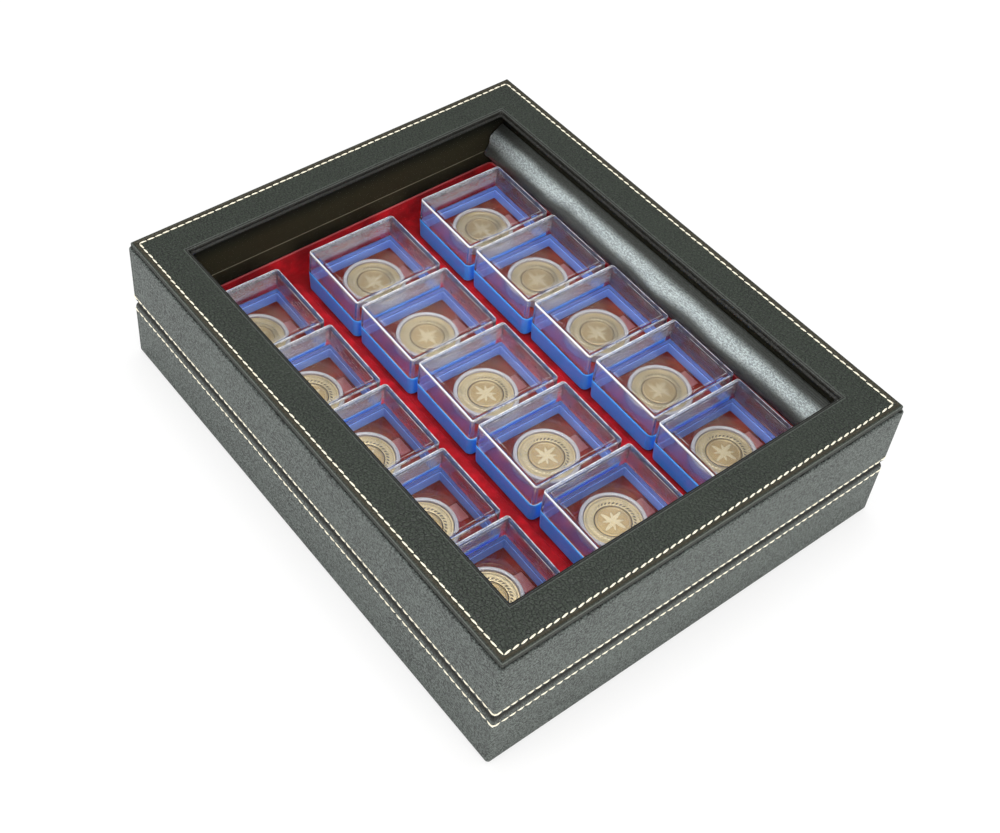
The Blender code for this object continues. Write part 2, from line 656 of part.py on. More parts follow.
def build_top_frame(material, axis):
    """The covered top frame, with eased edges and a lip round the window."""
    def outer(inset, height):
        """Outer outline of the frame drawn in by the given distance."""
        return inset_outline(FRAME_SETBACK + inset, height)

    def window(spread, height):
        """Outline of the window, widened by the given distance."""
        length = CASE_LENGTH - 2 * WINDOW_BORDER + 2 * spread
        depth = CASE_DEPTH - 2 * WINDOW_BORDER + 2 * spread
        return rounded_outline(length, depth, INNER_CORNER_RADIUS + spread, CASE_CORNER_STEPS, height)

    eased = eased_inset(BOARD_EDGE)
    lip_top = FRAME_BOTTOM + WINDOW_LIP_HEIGHT
    outlines = [
        outer(0, FRAME_BOTTOM),
        outer(0, CASE_HEIGHT - BOARD_EDGE),
        outer(eased, CASE_HEIGHT - eased),
        outer(BOARD_EDGE, CASE_HEIGHT),
        window(WINDOW_LIP + BOARD_EDGE, CASE_HEIGHT),
        window(WINDOW_LIP + eased, CASE_HEIGHT - eased),
        window(WINDOW_LIP, CASE_HEIGHT - BOARD_EDGE),
        window(WINDOW_LIP, lip_top),
        window(0, lip_top),
        window(0, FRAME_BOTTOM),
    ]
    frame = make_object("lid_top_frame", loft("lid_top_frame", outlines, closed_ring=True), material)
    attach(frame, axis)


def build_pane(material, axis):
    """The window pane, which rests on the lid lining below the top frame."""
    length = CAVITY_LENGTH - 2 * PANE_CLEARANCE
    depth = CAVITY_DEPTH - 2 * PANE_CLEARANCE
    radius = INNER_CORNER_RADIUS
    steps = CASE_CORNER_STEPS
    outlines = [rounded_outline(length, depth, radius, steps, z) for z in (PANE_BOTTOM, WALL_TOP)]
    pane = make_object("window_glass", loft("window_glass", outlines), material)
    attach(pane, axis)


def build_case():
    """Build the whole display case."""
    clear_scene()
    leather = make_material("black_leatherette", (0.03, 0.034, 0.031), 0.5)
    lining = make_material("dark_lining", (0.045, 0.042, 0.03), 0.8)
    board = make_material("bottom_board", (0.3, 0.2, 0.12), 0.8)
    sheet = make_material("bottom_sheet", (0.02, 0.02, 0.02), 0.85)
    velour = make_material("red_velour", (0.5, 0.01, 0.015), 0.9)
    blue = make_material("blue_plastic", (0.04, 0.12, 0.6), 0.3)
    clear = make_material("clear_acrylic", (0.95, 0.95, 0.97), 0.05, transmission=1.0)
    glass = make_material("window_glass", (0.95, 0.97, 0.96), 0.02, transmission=1.0)
    coin = make_material("coin_metal", (0.7, 0.55, 0.3), 0.35, metallic=1.0)
    satin = make_material("silver_satin", (0.5, 0.55, 0.58), 0.35)
    brass = make_material("hinge_brass", (0.75, 0.58, 0.3), 0.3, metallic=1.0)

    build_base_walls(leather)
    build_base_bottom(board, sheet)
    build_lining("base_lining", LINING_BOTTOM, LINING_JOINT, lining)
    build_spacer(board)
    build_tray(velour)
    build_boxes(blue, clear, coin)
    build_gusset(satin)

    axis = make_hinge_axis()
    build_lid_walls(leather, axis)
    build_top_frame(leather, axis)
    build_pane(glass, axis)
    build_lining("lid_lining", LINING_JOINT + SEAT_GAP, PANE_BOTTOM - SEAT_GAP, lining, axis)
    for name, centre in hinge_places():
        build_leaf(f"hinge_{name}_lower_leaf", centre, -1, brass)
        build_leaf(f"hinge_{name}_upper_leaf", centre, 1, brass, axis)


build_case()
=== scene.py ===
"""Coin display case: leatherette case with a window lid, flocked tray and fifteen coin boxes.

Lengths are in millimetres in the dataclass fields and turned into metres where meshes are made.
+X runs along the case, -Y is the opening side, +Y the hinge side, and the case stands on Z = 0.
"""
from __future__ import annotations

import logging
import math
import random
from dataclasses import dataclass
from enum import Enum
from functools import lru_cache
from typing import Iterable, Sequence

import bmesh
import bpy
from mathutils import Matrix, Vector, noise


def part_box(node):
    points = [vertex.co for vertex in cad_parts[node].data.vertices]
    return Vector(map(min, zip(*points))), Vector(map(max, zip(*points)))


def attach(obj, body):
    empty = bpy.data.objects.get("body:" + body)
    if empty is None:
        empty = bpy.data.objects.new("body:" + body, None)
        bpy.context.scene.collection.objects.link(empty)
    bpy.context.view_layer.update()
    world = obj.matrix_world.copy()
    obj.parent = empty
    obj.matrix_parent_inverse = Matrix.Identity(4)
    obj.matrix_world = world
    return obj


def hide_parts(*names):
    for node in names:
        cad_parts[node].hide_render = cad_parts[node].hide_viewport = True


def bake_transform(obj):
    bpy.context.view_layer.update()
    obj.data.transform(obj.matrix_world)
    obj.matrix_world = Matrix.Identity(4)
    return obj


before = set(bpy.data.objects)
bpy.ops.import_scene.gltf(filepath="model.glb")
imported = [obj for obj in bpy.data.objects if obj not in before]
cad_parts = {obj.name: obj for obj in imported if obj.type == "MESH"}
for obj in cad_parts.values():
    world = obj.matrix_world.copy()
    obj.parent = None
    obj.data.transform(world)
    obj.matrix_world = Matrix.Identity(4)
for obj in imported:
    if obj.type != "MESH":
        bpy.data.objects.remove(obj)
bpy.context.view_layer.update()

MM = 0.001
LOG = logging.getLogger("coin_case")
Outline = list[Vector]
Colour = tuple[float, float, float]


# Shader building


class Signal:
    """A socket whose arithmetic adds Math nodes."""

    def __init__(self, tree: "ShaderTree", socket: bpy.types.NodeSocket) -> None:
        """Wrap an output socket of the tree."""
        self.tree = tree
        self.socket = socket

    def _math(self, operation: str, first: object, second: object = None) -> "Signal":
        """Add one Math node.

        Args:
            operation: the Math node's operation.
            first: a signal or a number.
            second: a signal, a number or nothing.

        Returns:
            The node's result.
        """
        sockets = {0: first} if second is None else {0: first, 1: second}
        return self.tree.add("ShaderNodeMath", {"operation": operation}, sockets)

    def __add__(self, other: object) -> "Signal":
        """Sum of two values."""
        return self._math("ADD", self, other)

    __radd__ = __add__

    def __sub__(self, other: object) -> "Signal":
        """Difference of two values."""
        return self._math("SUBTRACT", self, other)

    def __rsub__(self, other: object) -> "Signal":
        """Difference with the number first."""
        return self._math("SUBTRACT", other, self)

    def __mul__(self, other: object) -> "Signal":
        """Product of two values."""
        return self._math("MULTIPLY", self, other)

    __rmul__ = __mul__

    def __truediv__(self, other: object) -> "Signal":
        """Quotient of two values."""
        return self._math("DIVIDE", self, other)

    def __rtruediv__(self, other: object) -> "Signal":
        """Quotient with the number first."""
        return self._math("DIVIDE", other, self)

    def __pow__(self, other: object) -> "Signal":
        """Power of the value."""
        return self._math("POWER", self, other)

    def __abs__(self) -> "Signal":
        """Size of the value without its sign."""
        return self._math("ABSOLUTE", self)

    def sine(self) -> "Signal":
        """Sine of the value."""
        return self._math("SINE", self)

    def at_most(self, other: object) -> "Signal":
        """The smaller of two values."""
        return self._math("MINIMUM", self, other)

    def at_least(self, other: object) -> "Signal":
        """The larger of two values."""
        return self._math("MAXIMUM", self, other)

    def ramp(self, low: float, high: float) -> "Signal":
        """Smooth step from 0 at low to 1 at high.

        Args:
            low: value where the step starts.
            high: value where it ends.

        Returns:
            The stepped value, from 0 to 1.
        """
        node = self.tree.nodes.new("ShaderNodeMapRange")
        node.interpolation_type = "SMOOTHSTEP"
        self.tree.fill(node, {0: self, 1: low, 2: high, 3: 0.0, 4: 1.0})
        return Signal(self.tree, node.outputs[0])

    def bell(self, centre: float, half_width: float) -> "Signal":
        """A smooth hump of height 1 round a value.

        Args:
            centre: where the hump stands.
            half_width: how far it reaches on either side.

        Returns:
            The hump.
        """
        return 1.0 - abs(self - centre).ramp(0.0, half_width)


class ShaderTree:
    """A material's node tree with one method that adds any node."""

    def __init__(self, name: str) -> None:
        """Start a material with one Principled shader."""
        self.material = bpy.data.materials.new(name)
        self.material.use_nodes = True
        self.nodes = self.material.node_tree.nodes
        self.links = self.material.node_tree.links
        self.principled = self.nodes["Principled BSDF"]
        self.output = self.nodes["Material Output"]

    def fill(self, node: bpy.types.Node, sockets: dict) -> None:
        """Set or link a node's inputs.

        Args:
            node: the node.
            sockets: input name or index to a value, a signal or a socket.
        """
        for key, value in sockets.items():
            if isinstance(value, Signal):
                self.links.new(value.socket, node.inputs[key])
            elif isinstance(value, bpy.types.NodeSocket):
                self.links.new(value, node.inputs[key])
            elif isinstance(value, tuple) and len(value) == 3 and node.inputs[key].type == "RGBA":
                node.inputs[key].default_value = (*value, 1.0)
            else:
                node.inputs[key].default_value = value

    def add(self, kind: str, settings: dict | None = None, sockets: dict | None = None, out: object = 0) -> Signal:
        """Add a node.

        Args:
            kind: the node's type.
            settings: its settings, set before its sockets.
            sockets: its inputs.
            out: name or index of the output that is wanted.

        Returns:
            That output.
        """
        node = self.nodes.new(kind)
        for key, value in (settings or {}).items():
            if key == "stops":
                ramp = node.color_ramp
                while len(ramp.elements) < len(value):
                    ramp.elements.new(1.0)
                for element, (place, colour) in zip(ramp.elements, value):
                    element.position = place
                    element.color = (*colour, 1.0)
            else:
                setattr(node, key, value)
        self.fill(node, sockets or {})
        return Signal(self, node.outputs[out])

    def mix(self, share: object, first: object, second: object, blend: str = "MIX") -> Signal:
        """Mix two colours.

        Args:
            share: how much of the second colour.
            first: a colour or a signal.
            second: a colour or a signal.
            blend: the Mix node's blend type.

        Returns:
            The mixed colour.
        """
        node = self.nodes.new("ShaderNodeMix")
        node.data_type = "RGBA"
        node.blend_type = blend
        self.fill(node, {0: share, 6: first, 7: second})
        return Signal(self, node.outputs[2])

    def place(self) -> tuple[Signal, Signal, Signal, Signal]:
        """The object's own coordinates in millimetres.

        Returns:
            The vector and its x, y and z values.
        """
        coordinates = self.add("ShaderNodeTexCoord", out="Object")
        scaled = self.add("ShaderNodeVectorMath", {"operation": "SCALE"}, {0: coordinates, "Scale": 1 / MM})
        parts = self.nodes.new("ShaderNodeSeparateXYZ")
        self.links.new(scaled.socket, parts.inputs[0])
        x, y, z = (Signal(self, parts.outputs[index]) for index in range(3))
        return scaled, x, y, z

    def noise(self, where: Signal, size: float, detail: float = 2.0, roughness: float = 0.5) -> Signal:
        """Noise whose features are about so many millimetres across.

        Args:
            where: the coordinates in millimetres.
            size: size of the features.
            detail: how many finer layers.
            roughness: how strong the finer layers are.

        Returns:
            Noise round 0.5.
        """
        sockets = {"Vector": where, "Scale": 1 / size, "Detail": detail, "Roughness": roughness}
        return self.add("ShaderNodeTexNoise", None, sockets)

    def cells(self, where: Signal, size: float, feature: str = "F1") -> Signal:
        """Distance inside cells of about so many millimetres.

        Args:
            where: the coordinates in millimetres.
            size: size of the cells.
            feature: the Voronoi feature.

        Returns:
            The distance.
        """
        return self.add("ShaderNodeTexVoronoi", {"feature": feature}, {"Vector": where, "Scale": 1 / size}, "Distance")

    def bump(self, height: Signal, depth: float, normal: Signal | None = None) -> Signal:
        """Bump from a height from 0 to 1.

        Args:
            height: the height.
            depth: how many millimetres it stands for.
            normal: another bump to add to.

        Returns:
            The normal.
        """
        sockets = {"Height": height, "Strength": 1.0, "Distance": depth * MM}
        if normal is not None:
            sockets["Normal"] = normal
        return self.add("ShaderNodeBump", None, sockets)

    def finish(self, sockets: dict) -> bpy.types.Material:
        """Fill the Principled shader.

        Args:
            sockets: its inputs.

        Returns:
            The material.
        """
        self.fill(self.principled, sockets)
        return self.material

    def clear_mix(self, gloss: object, tint: Colour, shine: dict) -> bpy.types.Material:
        """See-through material with the Principled shader as its reflecting share.

        Args:
            gloss: the reflecting share.
            tint: colour of what is seen through.
            shine: inputs of the Principled shader.

        Returns:
            The material.
        """
        self.fill(self.principled, shine)
        through = self.add("ShaderNodeBsdfTransparent", None, {"Color": tint})
        mixed = self.add("ShaderNodeMixShader", None, {0: gloss, 1: through, 2: self.principled.outputs[0]})
        self.links.new(mixed.socket, self.output.inputs["Surface"])
        return self.material


# Finishes


@dataclass(frozen=True)
class Leatherette:
    """Grained black leatherette, pulled round board edges."""

    name: str
    colour: Colour
    roughness: float = 0.5
    grain: float = 1.15
    grain_depth: float = 0.22
    mottle: float = 0.35
    crease_at: float = 139.0
    specular: float = 0.35
    edge: tuple[float, float] | None = None
    window: tuple[float, float] = (119.8, 93.8)
    top: float = 75.0
    seam: float = 35.6
    # dark: painted shade in the wall seam, on the frame's side and on the window's inner faces.
    dark: Colour = (0.006, 0.006, 0.004)
    strip: Colour = (0.03, 0.022, 0.009)
    # Painted highlights on the frame's top edge, piping and window lips.
    painted_highlight: Colour = (0.08, 0.09, 0.08)

    def lines(self, tree: ShaderTree, shade: Signal, place: Sequence[Signal]) -> Signal:
        """Paint shade into the seam of the walls, or, on the frame, darken the strip outside the stitches, paint shade
        on the side and on the window's inner faces, and paint highlights on the edges, piping and lips.

        Args:
            tree: the material's tree.
            shade: the leather's colour.
            place: the x, y and z values.

        Returns:
            The shaded colour.
        """
        x, y, z = place
        if self.edge is None:
            # Painted shade in the seam groove between base and lid.
            return tree.mix((z.bell(self.seam, 3.6) * 1.8).at_most(1.0) * 0.95, shade, self.dark)
        inset = (self.edge[0] - abs(x)).at_most(self.edge[1] - abs(y))
        shade = tree.mix(inset.bell(1.9, 1.4) * z.ramp(self.top - 1.0, self.top - 0.5) * 0.8, shade, self.strip)
        # Painted shade on the frame's side face.
        shade = tree.mix((1.0 - z.ramp(self.top - 1.0, self.top - 0.7)) * 0.9, shade, self.dark)
        # Painted highlights along the top edge and the piping.
        piping = z.bell(self.top - 1.75, 0.45).at_least(inset.bell(0.35, 0.4) * z.bell(self.top - 0.4, 0.5))
        shade = tree.mix(piping * inset.ramp(4.0, 3.0), shade, self.painted_highlight)
        # Painted shade on the window's inner faces.
        outside = (abs(x) - self.window[0]).at_least(abs(y) - self.window[1])
        shade = tree.mix(outside.ramp(2.5, 2.3) * 0.95, shade, self.dark)
        # Painted highlights along the window's lips.
        lips = outside.bell(2.8, 0.35).at_least(outside.bell(1.75, 0.25))
        return tree.mix(lips * 0.7, shade, self.painted_highlight)

    def build(self) -> bpy.types.Material:
        """Make the material."""
        tree = ShaderTree(self.name)
        where, x, y, z = tree.place()
        warp = tree.add("ShaderNodeTexNoise", None, {"Vector": where, "Scale": 0.5, "Detail": 1.0}, "Color")
        shifted = tree.add("ShaderNodeVectorMath", {"operation": "ADD"}, {0: where, 1: warp})
        pebbles = tree.cells(shifted, self.grain, "SMOOTH_F1")
        creases = tree.cells(shifted, self.grain * 1.7, "DISTANCE_TO_EDGE").ramp(0.0, 0.18)
        fine = tree.noise(where, 0.35, 3.0)
        height = (1.0 - pebbles) * 0.6 + creases * 0.5 + fine * 0.25
        pull = tree.noise(where, 14.0, 1.0)
        bend = abs(abs(x) + (pull - 0.5) * 1.6 - self.crease_at).ramp(0.0, 1.2) * 0.6
        normal = tree.bump(height, self.grain_depth)
        normal = tree.bump(bend, 0.5, normal)
        patches = tree.noise(where, 22.0, 3.0)
        deep = tuple(part * (1 - self.mottle) for part in self.colour)
        light = tuple(part * (1 + self.mottle * 2.2) for part in self.colour)
        specks = tree.noise(where, 0.75, 2.0, 0.6).ramp(0.42, 0.58)
        shade = tree.mix(creases * 0.25 + specks * 0.75, deep, light)
        shade = tree.mix(patches.ramp(0.3, 0.8) * 0.2, shade, light)
        shade = self.lines(tree, shade, (x, y, z))
        rough = self.roughness + (fine - 0.5) * 0.2 + (patches - 0.5) * 0.08
        return tree.finish({
            "Base Color": shade, "Roughness": rough, "Normal": normal, "Specular IOR Level": self.specular,
        })


@dataclass(frozen=True)
class Thread:
    """Cream sewing thread with a twist."""

    name: str = "cream_thread"
    colour: Colour = (0.92, 0.87, 0.7)
    shadow: Colour = (0.6, 0.46, 0.26)

    def build(self) -> bpy.types.Material:
        """Make the material."""
        tree = ShaderTree(self.name)
        where, x, y, z = tree.place()
        twist = ((x + y) * 9.0 + z * 6.0).sine() * 0.5 + 0.5
        soil = tree.noise(where, 3.0)
        # Painted shade in the grooves along the twist; darker soil patches.
        shade = tree.mix(twist * 0.2 + soil.ramp(0.5, 0.85) * 0.25, self.colour, self.shadow)
        return tree.finish({
            "Base Color": shade, "Roughness": 0.6, "Normal": tree.bump(twist, 0.12), "Sheen Weight": 0.2,
        })


@dataclass(frozen=True)
class Velour:
    """Flocked velour, with paler pile, darker patches, a soft sheen and a painted highlight along the tray's rim."""

    name: str
    colour: Colour
    # pale_and_highlight: paler pile and sheen tint, and the painted highlight on the rim.
    pale_and_highlight: Colour
    shadow: Colour
    rim_height: float = 1000.0

    def build(self) -> bpy.types.Material:
        """Make the material."""
        tree = ShaderTree(self.name)
        where, x, y, z = tree.place()
        pile = tree.noise(where, 0.28, 4.0, 0.7)
        nap = tree.noise(where, 9.0, 3.0)
        shade = tree.mix(nap.ramp(0.35, 0.75), self.shadow, self.colour)
        shade = tree.mix(pile.ramp(0.55, 0.8) * 0.5, shade, self.pale_and_highlight)
        # Painted highlight along the tray's rim.
        shade = tree.mix(z.ramp(self.rim_height - 0.6, self.rim_height) * 0.8, shade, self.pale_and_highlight)
        return tree.finish({
            "Base Color": shade, "Roughness": 0.9 + (pile - 0.5) * 0.1, "Normal": tree.bump(pile, 0.2),
            "Sheen Weight": 0.25, "Sheen Roughness": 0.45, "Sheen Tint": (*self.pale_and_highlight, 1.0),
            "Specular IOR Level": 0.15,
        })


@dataclass(frozen=True)
class Satin:
    """Silver satin with painted glints of single threads, painted shade of its folds, and painted shade over its lower
    part and along its top.
    """

    name: str = "silver_satin"
    colour: Colour = (0.9, 0.99, 1.0)
    shadow: Colour = (0.3, 0.34, 0.36)
    # painted_shade: painted shade over the lower part, which faces down, and along the top under the frame.
    painted_shade: Colour = (0.05, 0.05, 0.042)
    lower_shade_height: float = 45.0
    shade_height: float = 51.5

    def build(self) -> bpy.types.Material:
        """Make the material."""
        tree = ShaderTree(self.name)
        where, x, y, z = tree.place()
        long_way = tree.add("ShaderNodeVectorMath", {"operation": "MULTIPLY"}, {0: where, 1: (0.45, 1.0, 1.0)})
        glint = tree.noise(long_way, 0.5, 3.0, 0.75)
        threads = (z * 11.0 + glint * 2.0).sine() * 0.5 + 0.5
        painted_fold_shading = tree.noise(where, 7.0, 2.0)
        # Painted glints of single threads and painted shade of the folds, between the shadow colour and the satin's
        # colour.
        shade = tree.mix(glint.ramp(0.42, 0.58) * 0.85 + painted_fold_shading * 0.15, self.shadow, self.colour)
        sway = tree.noise(where, 30.0, 1.0) * 5.0 - 2.5
        # Painted shade over the lower part and along the top, by height.
        low = (z + sway).ramp(self.lower_shade_height + 3.0, self.lower_shade_height - 3.0)
        high = z.ramp(self.shade_height - 2.0, self.shade_height + 1.0)
        shade = tree.mix((low * 0.9).at_least(high * 0.92), shade, self.painted_shade)
        return tree.finish({
            "Base Color": shade, "Metallic": 0.2 + (glint - 0.5) * 0.6, "Roughness": 0.42 + (glint - 0.5) * 0.5,
            "Normal": tree.bump(glint * 0.7 + threads * 0.3, 0.22), "Sheen Weight": 0.15,
        })


@dataclass(frozen=True)
class ClearPlastic:
    """Clear moulded plastic, seen through without bending the view."""

    name: str
    tint: Colour = (0.97, 0.97, 0.985)
    base_share: float = 0.035
    edge_share: float = 0.85
    milk: Colour = (0.8, 0.8, 0.84)
    roughness: float = 0.06

    def build(self) -> bpy.types.Material:
        """Make the material."""
        tree = ShaderTree(self.name)
        where, x, y, z = tree.place()
        facing = tree.add("ShaderNodeLayerWeight", None, {"Blend": 0.35}, "Facing")
        scuffs = tree.noise(where, 2.5, 5.0, 0.7).ramp(0.6, 0.85)
        share = self.base_share + facing ** 3.5 * self.edge_share + scuffs * 0.03
        return tree.clear_mix(share.at_most(0.95), self.tint, {
            "Base Color": self.milk, "Roughness": self.roughness, "Specular IOR Level": 0.8,
        })


@dataclass(frozen=True)
class MouldedClear:
    """Thick clear moulded plastic, which bends the view, with painted highlights on its edges, a painted dark
    reflection in its far wall, painted blue light in its near wall and a speckled milky band on one end.
    """

    name: str
    colour: Colour = (0.985, 0.985, 1.0)
    clarity: float = 1.0
    index: float = 1.49
    roughness: float = 0.02
    edge: tuple[float, float, float] | None = None
    # milk_and_highlight: white of the painted highlights and of the speckled band; painted_dark_reflection: far wall;
    # painted_blue_light: near wall.
    milk_and_highlight: Colour = (1.0, 0.98, 1.0)
    painted_dark_reflection: Colour = (0.16, 0.09, 0.12)
    painted_blue_light: Colour = (0.1, 0.35, 1.0)

    def build(self) -> bpy.types.Material:
        """Make the material."""
        tree = ShaderTree(self.name)
        where, x, y, z = tree.place()
        scuffs = tree.noise(where, 2.5, 5.0, 0.7).ramp(0.55, 0.85)
        glass = tree.finish({
            "Base Color": self.colour, "Roughness": self.roughness + scuffs * 0.03, "IOR": self.index,
            "Transmission Weight": self.clarity,
        })
        if self.edge is None:
            return glass
        half_length, half_width, top = self.edge
        streaks = tree.noise(where, 5.0, 3.0, 0.6).ramp(0.3, 0.65)
        # Painted highlights: the rounded top edges, strongest on the near (-Y) side, and a line inside the top.
        near = (y * -1.0).ramp(half_width - 2.0, half_width - 1.8)
        inset = (half_length - abs(x)).at_most(half_width - abs(y))
        rim = inset.ramp(1.7, 1.3)
        bright = rim * z.ramp(top - 0.9, top - 0.5) * (near * 0.75 + streaks * 0.5 + 0.15)
        line = inset.bell(3.5, 0.35) * z.ramp(top - 0.6, top - 0.3)
        # A speckled milky band on the -X wall above its foot.
        specks = tree.noise(where, 0.7, 3.0, 0.7).ramp(0.42, 0.68)
        side = (x * -1.0).ramp(half_length - 2.8, half_length - 2.5) * z.ramp(4.5, 7.5)
        # Painted dark reflection in the far (+Y) wall.
        far = y.ramp(half_width - 2.8, half_width - 2.5) * z.ramp(3.0, 5.0) * (1.0 - z.ramp(top - 1.2, top - 0.8))
        # Painted blue light in the near (-Y) wall, standing for light led up from the blue base.
        below = (1.0 - z.ramp(top - 1.2, top - 0.8)) * z.ramp(3.0, 5.0)
        facing = (y * -1.0).ramp(half_width - 2.8, half_width - 2.5) * below
        share = bright + side * (specks * 0.4 + 0.15) + far * (streaks * 0.25 + 0.3)
        share = share + line * streaks * 0.9 + facing * (streaks * 0.12 + 0.22)
        colour = tree.mix(far * 0.9, self.milk_and_highlight, self.painted_dark_reflection)
        colour = tree.mix(facing * 0.9, colour, self.painted_blue_light)
        milk = tree.add("ShaderNodeBsdfPrincipled", None, {"Base Color": colour, "Roughness": 0.3}, "BSDF")
        mixed = tree.add("ShaderNodeMixShader", None, {0: share.at_most(0.95), 1: tree.principled.outputs[0], 2: milk})
        plate = inset.ramp(2.5, 2.8) * (0.93 - scuffs * 0.05) * (1.0 - line * 0.6)
        through = tree.add("ShaderNodeBsdfTransparent", None, {"Color": self.colour})
        mixed = tree.add("ShaderNodeMixShader", None, {0: plate, 1: mixed, 2: through})
        tree.links.new(mixed.socket, tree.output.inputs["Surface"])
        return tree.material


@dataclass(frozen=True)
class ClearEdge:
    """Rounded edge of clear plastic, which gathers light."""

    name: str
    share: float = 0.5
    spread: float = 0.35
    milk: Colour = (0.9, 0.9, 0.93)
    tint: Colour = (0.9, 0.9, 0.95)

    def build(self) -> bpy.types.Material:
        """Make the material."""
        tree = ShaderTree(self.name)
        where, x, y, z = tree.place()
        streaks = tree.noise(where, 3.0, 4.0, 0.65).ramp(0.35, 0.7)
        share = self.share + (streaks - 0.5) * self.spread
        return tree.clear_mix(share, self.tint, {
            "Base Color": self.milk, "Roughness": 0.15, "Specular IOR Level": 1.0,
        })


@dataclass(frozen=True)
class WindowPane:
    """Clear polished pane."""

    name: str = "window_pane"
    tint: Colour = (0.985, 0.99, 0.985)

    def build(self) -> bpy.types.Material:
        """Make the material."""
        tree = ShaderTree(self.name)
        where, x, y, z = tree.place()
        facing = tree.add("ShaderNodeLayerWeight", None, {"Blend": 0.3}, "Facing")
        smear = tree.noise(where, 40.0, 2.0)
        share = 0.004 + facing ** 4.0 * 0.5 + smear * 0.003
        return tree.clear_mix(share, self.tint, {"Base Color": (0.02, 0.022, 0.02), "Roughness": 0.02})


@dataclass(frozen=True)
class BluePlastic:
    """Glossy blue moulded plastic, with a painted glow from its emission."""

    name: str = "blue_plastic"
    colour: Colour = (0.05, 0.34, 1.0)
    light: Colour = (0.1, 0.46, 1.0)
    # glow: emission strength, painted light standing for light scattered in the plastic.
    glow: float = 0.12

    def build(self) -> bpy.types.Material:
        """Make the material."""
        tree = ShaderTree(self.name)
        where, x, y, z = tree.place()
        flow = tree.noise(where, 12.0, 2.0)
        marks = tree.noise(where, 0.8, 4.0)
        shade = tree.mix(flow * 0.4, self.colour, self.light)
        # The emission is a painted glow.
        return tree.finish({
            "Base Color": shade, "Roughness": 0.3 + (marks - 0.5) * 0.16, "Normal": tree.bump(marks, 0.02),
            "Coat Weight": 0.15, "Emission Color": shade, "Emission Strength": self.glow,
        })


@dataclass(frozen=True)
class CoinMetal:
    """Two-part struck coin with a beaded border, a compass star and a painted dark reflection on one side of its
    border.
    """

    name: str = "coin_metal"
    ring_colour: Colour = (0.72, 0.58, 0.33)
    core_colour: Colour = (0.6, 0.42, 0.18)
    relief_colour: Colour = (0.95, 0.84, 0.56)
    toned: Colour = (0.3, 0.27, 0.15)
    # groove_and_dark_reflection: colour of the groove and of the painted dark reflection on the border's marks.
    groove_and_dark_reflection: Colour = (0.08, 0.06, 0.04)
    groove_radius: float = 8.6
    border_radius: float = 11.0
    star_points: int = 8

    def build(self) -> bpy.types.Material:
        """Make the material."""
        tree = ShaderTree(self.name)
        where, x, y, z = tree.place()
        radius = (x * x + y * y) ** 0.5
        angle = tree.add("ShaderNodeMath", {"operation": "ARCTAN2"}, {0: y, 1: x})
        wave = (angle * float(self.star_points)).sine() * 0.5 + 0.5
        half_wave = (angle * (self.star_points / 2)).sine() * 0.5 + 0.5
        reach = 2.0 + wave ** 1.6 * 3.0 + half_wave ** 2.0 * 2.2
        star = (reach - radius).ramp(-0.15, 0.35)
        core_ring = radius.bell(7.5, 0.35)
        beads = (angle * 60.0).sine().ramp(-0.2, 0.6) * radius.bell(12.2, 0.35)
        leaves = ((angle * 36.0 + radius * 2.4).sine() * 0.5 + 0.5).ramp(0.35, 0.7) * radius.bell(self.border_radius - 0.9, 0.95)
        groove = radius.bell(self.groove_radius, 0.4)
        grain = tree.noise(where, 0.35, 4.0, 0.7)
        relief = (star * 0.9 + core_ring * 0.6 + beads + leaves * 0.8).at_most(1.0)
        inside = (self.groove_radius - radius).ramp(-0.1, 0.1)
        shade = tree.mix(inside, self.ring_colour, self.core_colour)
        shade = tree.mix(relief * 0.75 + (grain - 0.5) * 0.3, shade, self.relief_colour)
        shade = tree.mix(tree.noise(where, 6.0, 3.0).ramp(0.5, 0.8) * 0.45, shade, self.toned)
        # Painted dark reflection on the border's marks, towards +Y.
        shaded = (y / radius.at_least(1.0)).ramp(-0.3, 0.4)
        shade = tree.mix((leaves * 1.6).at_most(1.0) * shaded * 0.9, shade, self.groove_and_dark_reflection)
        shade = tree.mix(groove * 0.9, shade, self.groove_and_dark_reflection)
        normal = tree.bump(relief * 0.8 + grain * 0.2 - groove, 0.3)
        return tree.finish({
            "Base Color": shade, "Metallic": 0.75, "Roughness": 0.33 + (grain - 0.5) * 0.25 + relief * 0.1,
            "Normal": normal,
        })


@dataclass(frozen=True)
class LiningPaper:
    """Dark lining, browner and paler towards its foot, with painted shadow making its upper part black and a painted
    highlight along the joint.
    """

    name: str
    # upper: black of the painted shadow under the frame; pale_and_highlight: painted highlight along the joint.
    upper: Colour = (0.004, 0.005, 0.004)
    lower: Colour = (0.036, 0.031, 0.016)
    pale_and_highlight: Colour = (0.3, 0.27, 0.19)
    joint_height: float = 38.3

    def build(self) -> bpy.types.Material:
        """Make the material."""
        tree = ShaderTree(self.name)
        where, x, y, z = tree.place()
        fibres = tree.noise(where, 1.2, 3.0, 0.5)
        # Painted shadow: black above, olive-brown below.
        shade = tree.mix(z.ramp(48.0, 60.0), self.lower, self.upper)
        shade = tree.mix((fibres - 0.5) * 0.4 + 0.2, shade, self.upper)
        # Painted highlight along the joint between the linings.
        shade = tree.mix(z.bell(self.joint_height, 0.5) * 0.9, shade, self.pale_and_highlight)
        return tree.finish({
            "Base Color": shade, "Roughness": 0.85 + (fibres - 0.5) * 0.1, "Specular IOR Level": 0.12,
        })


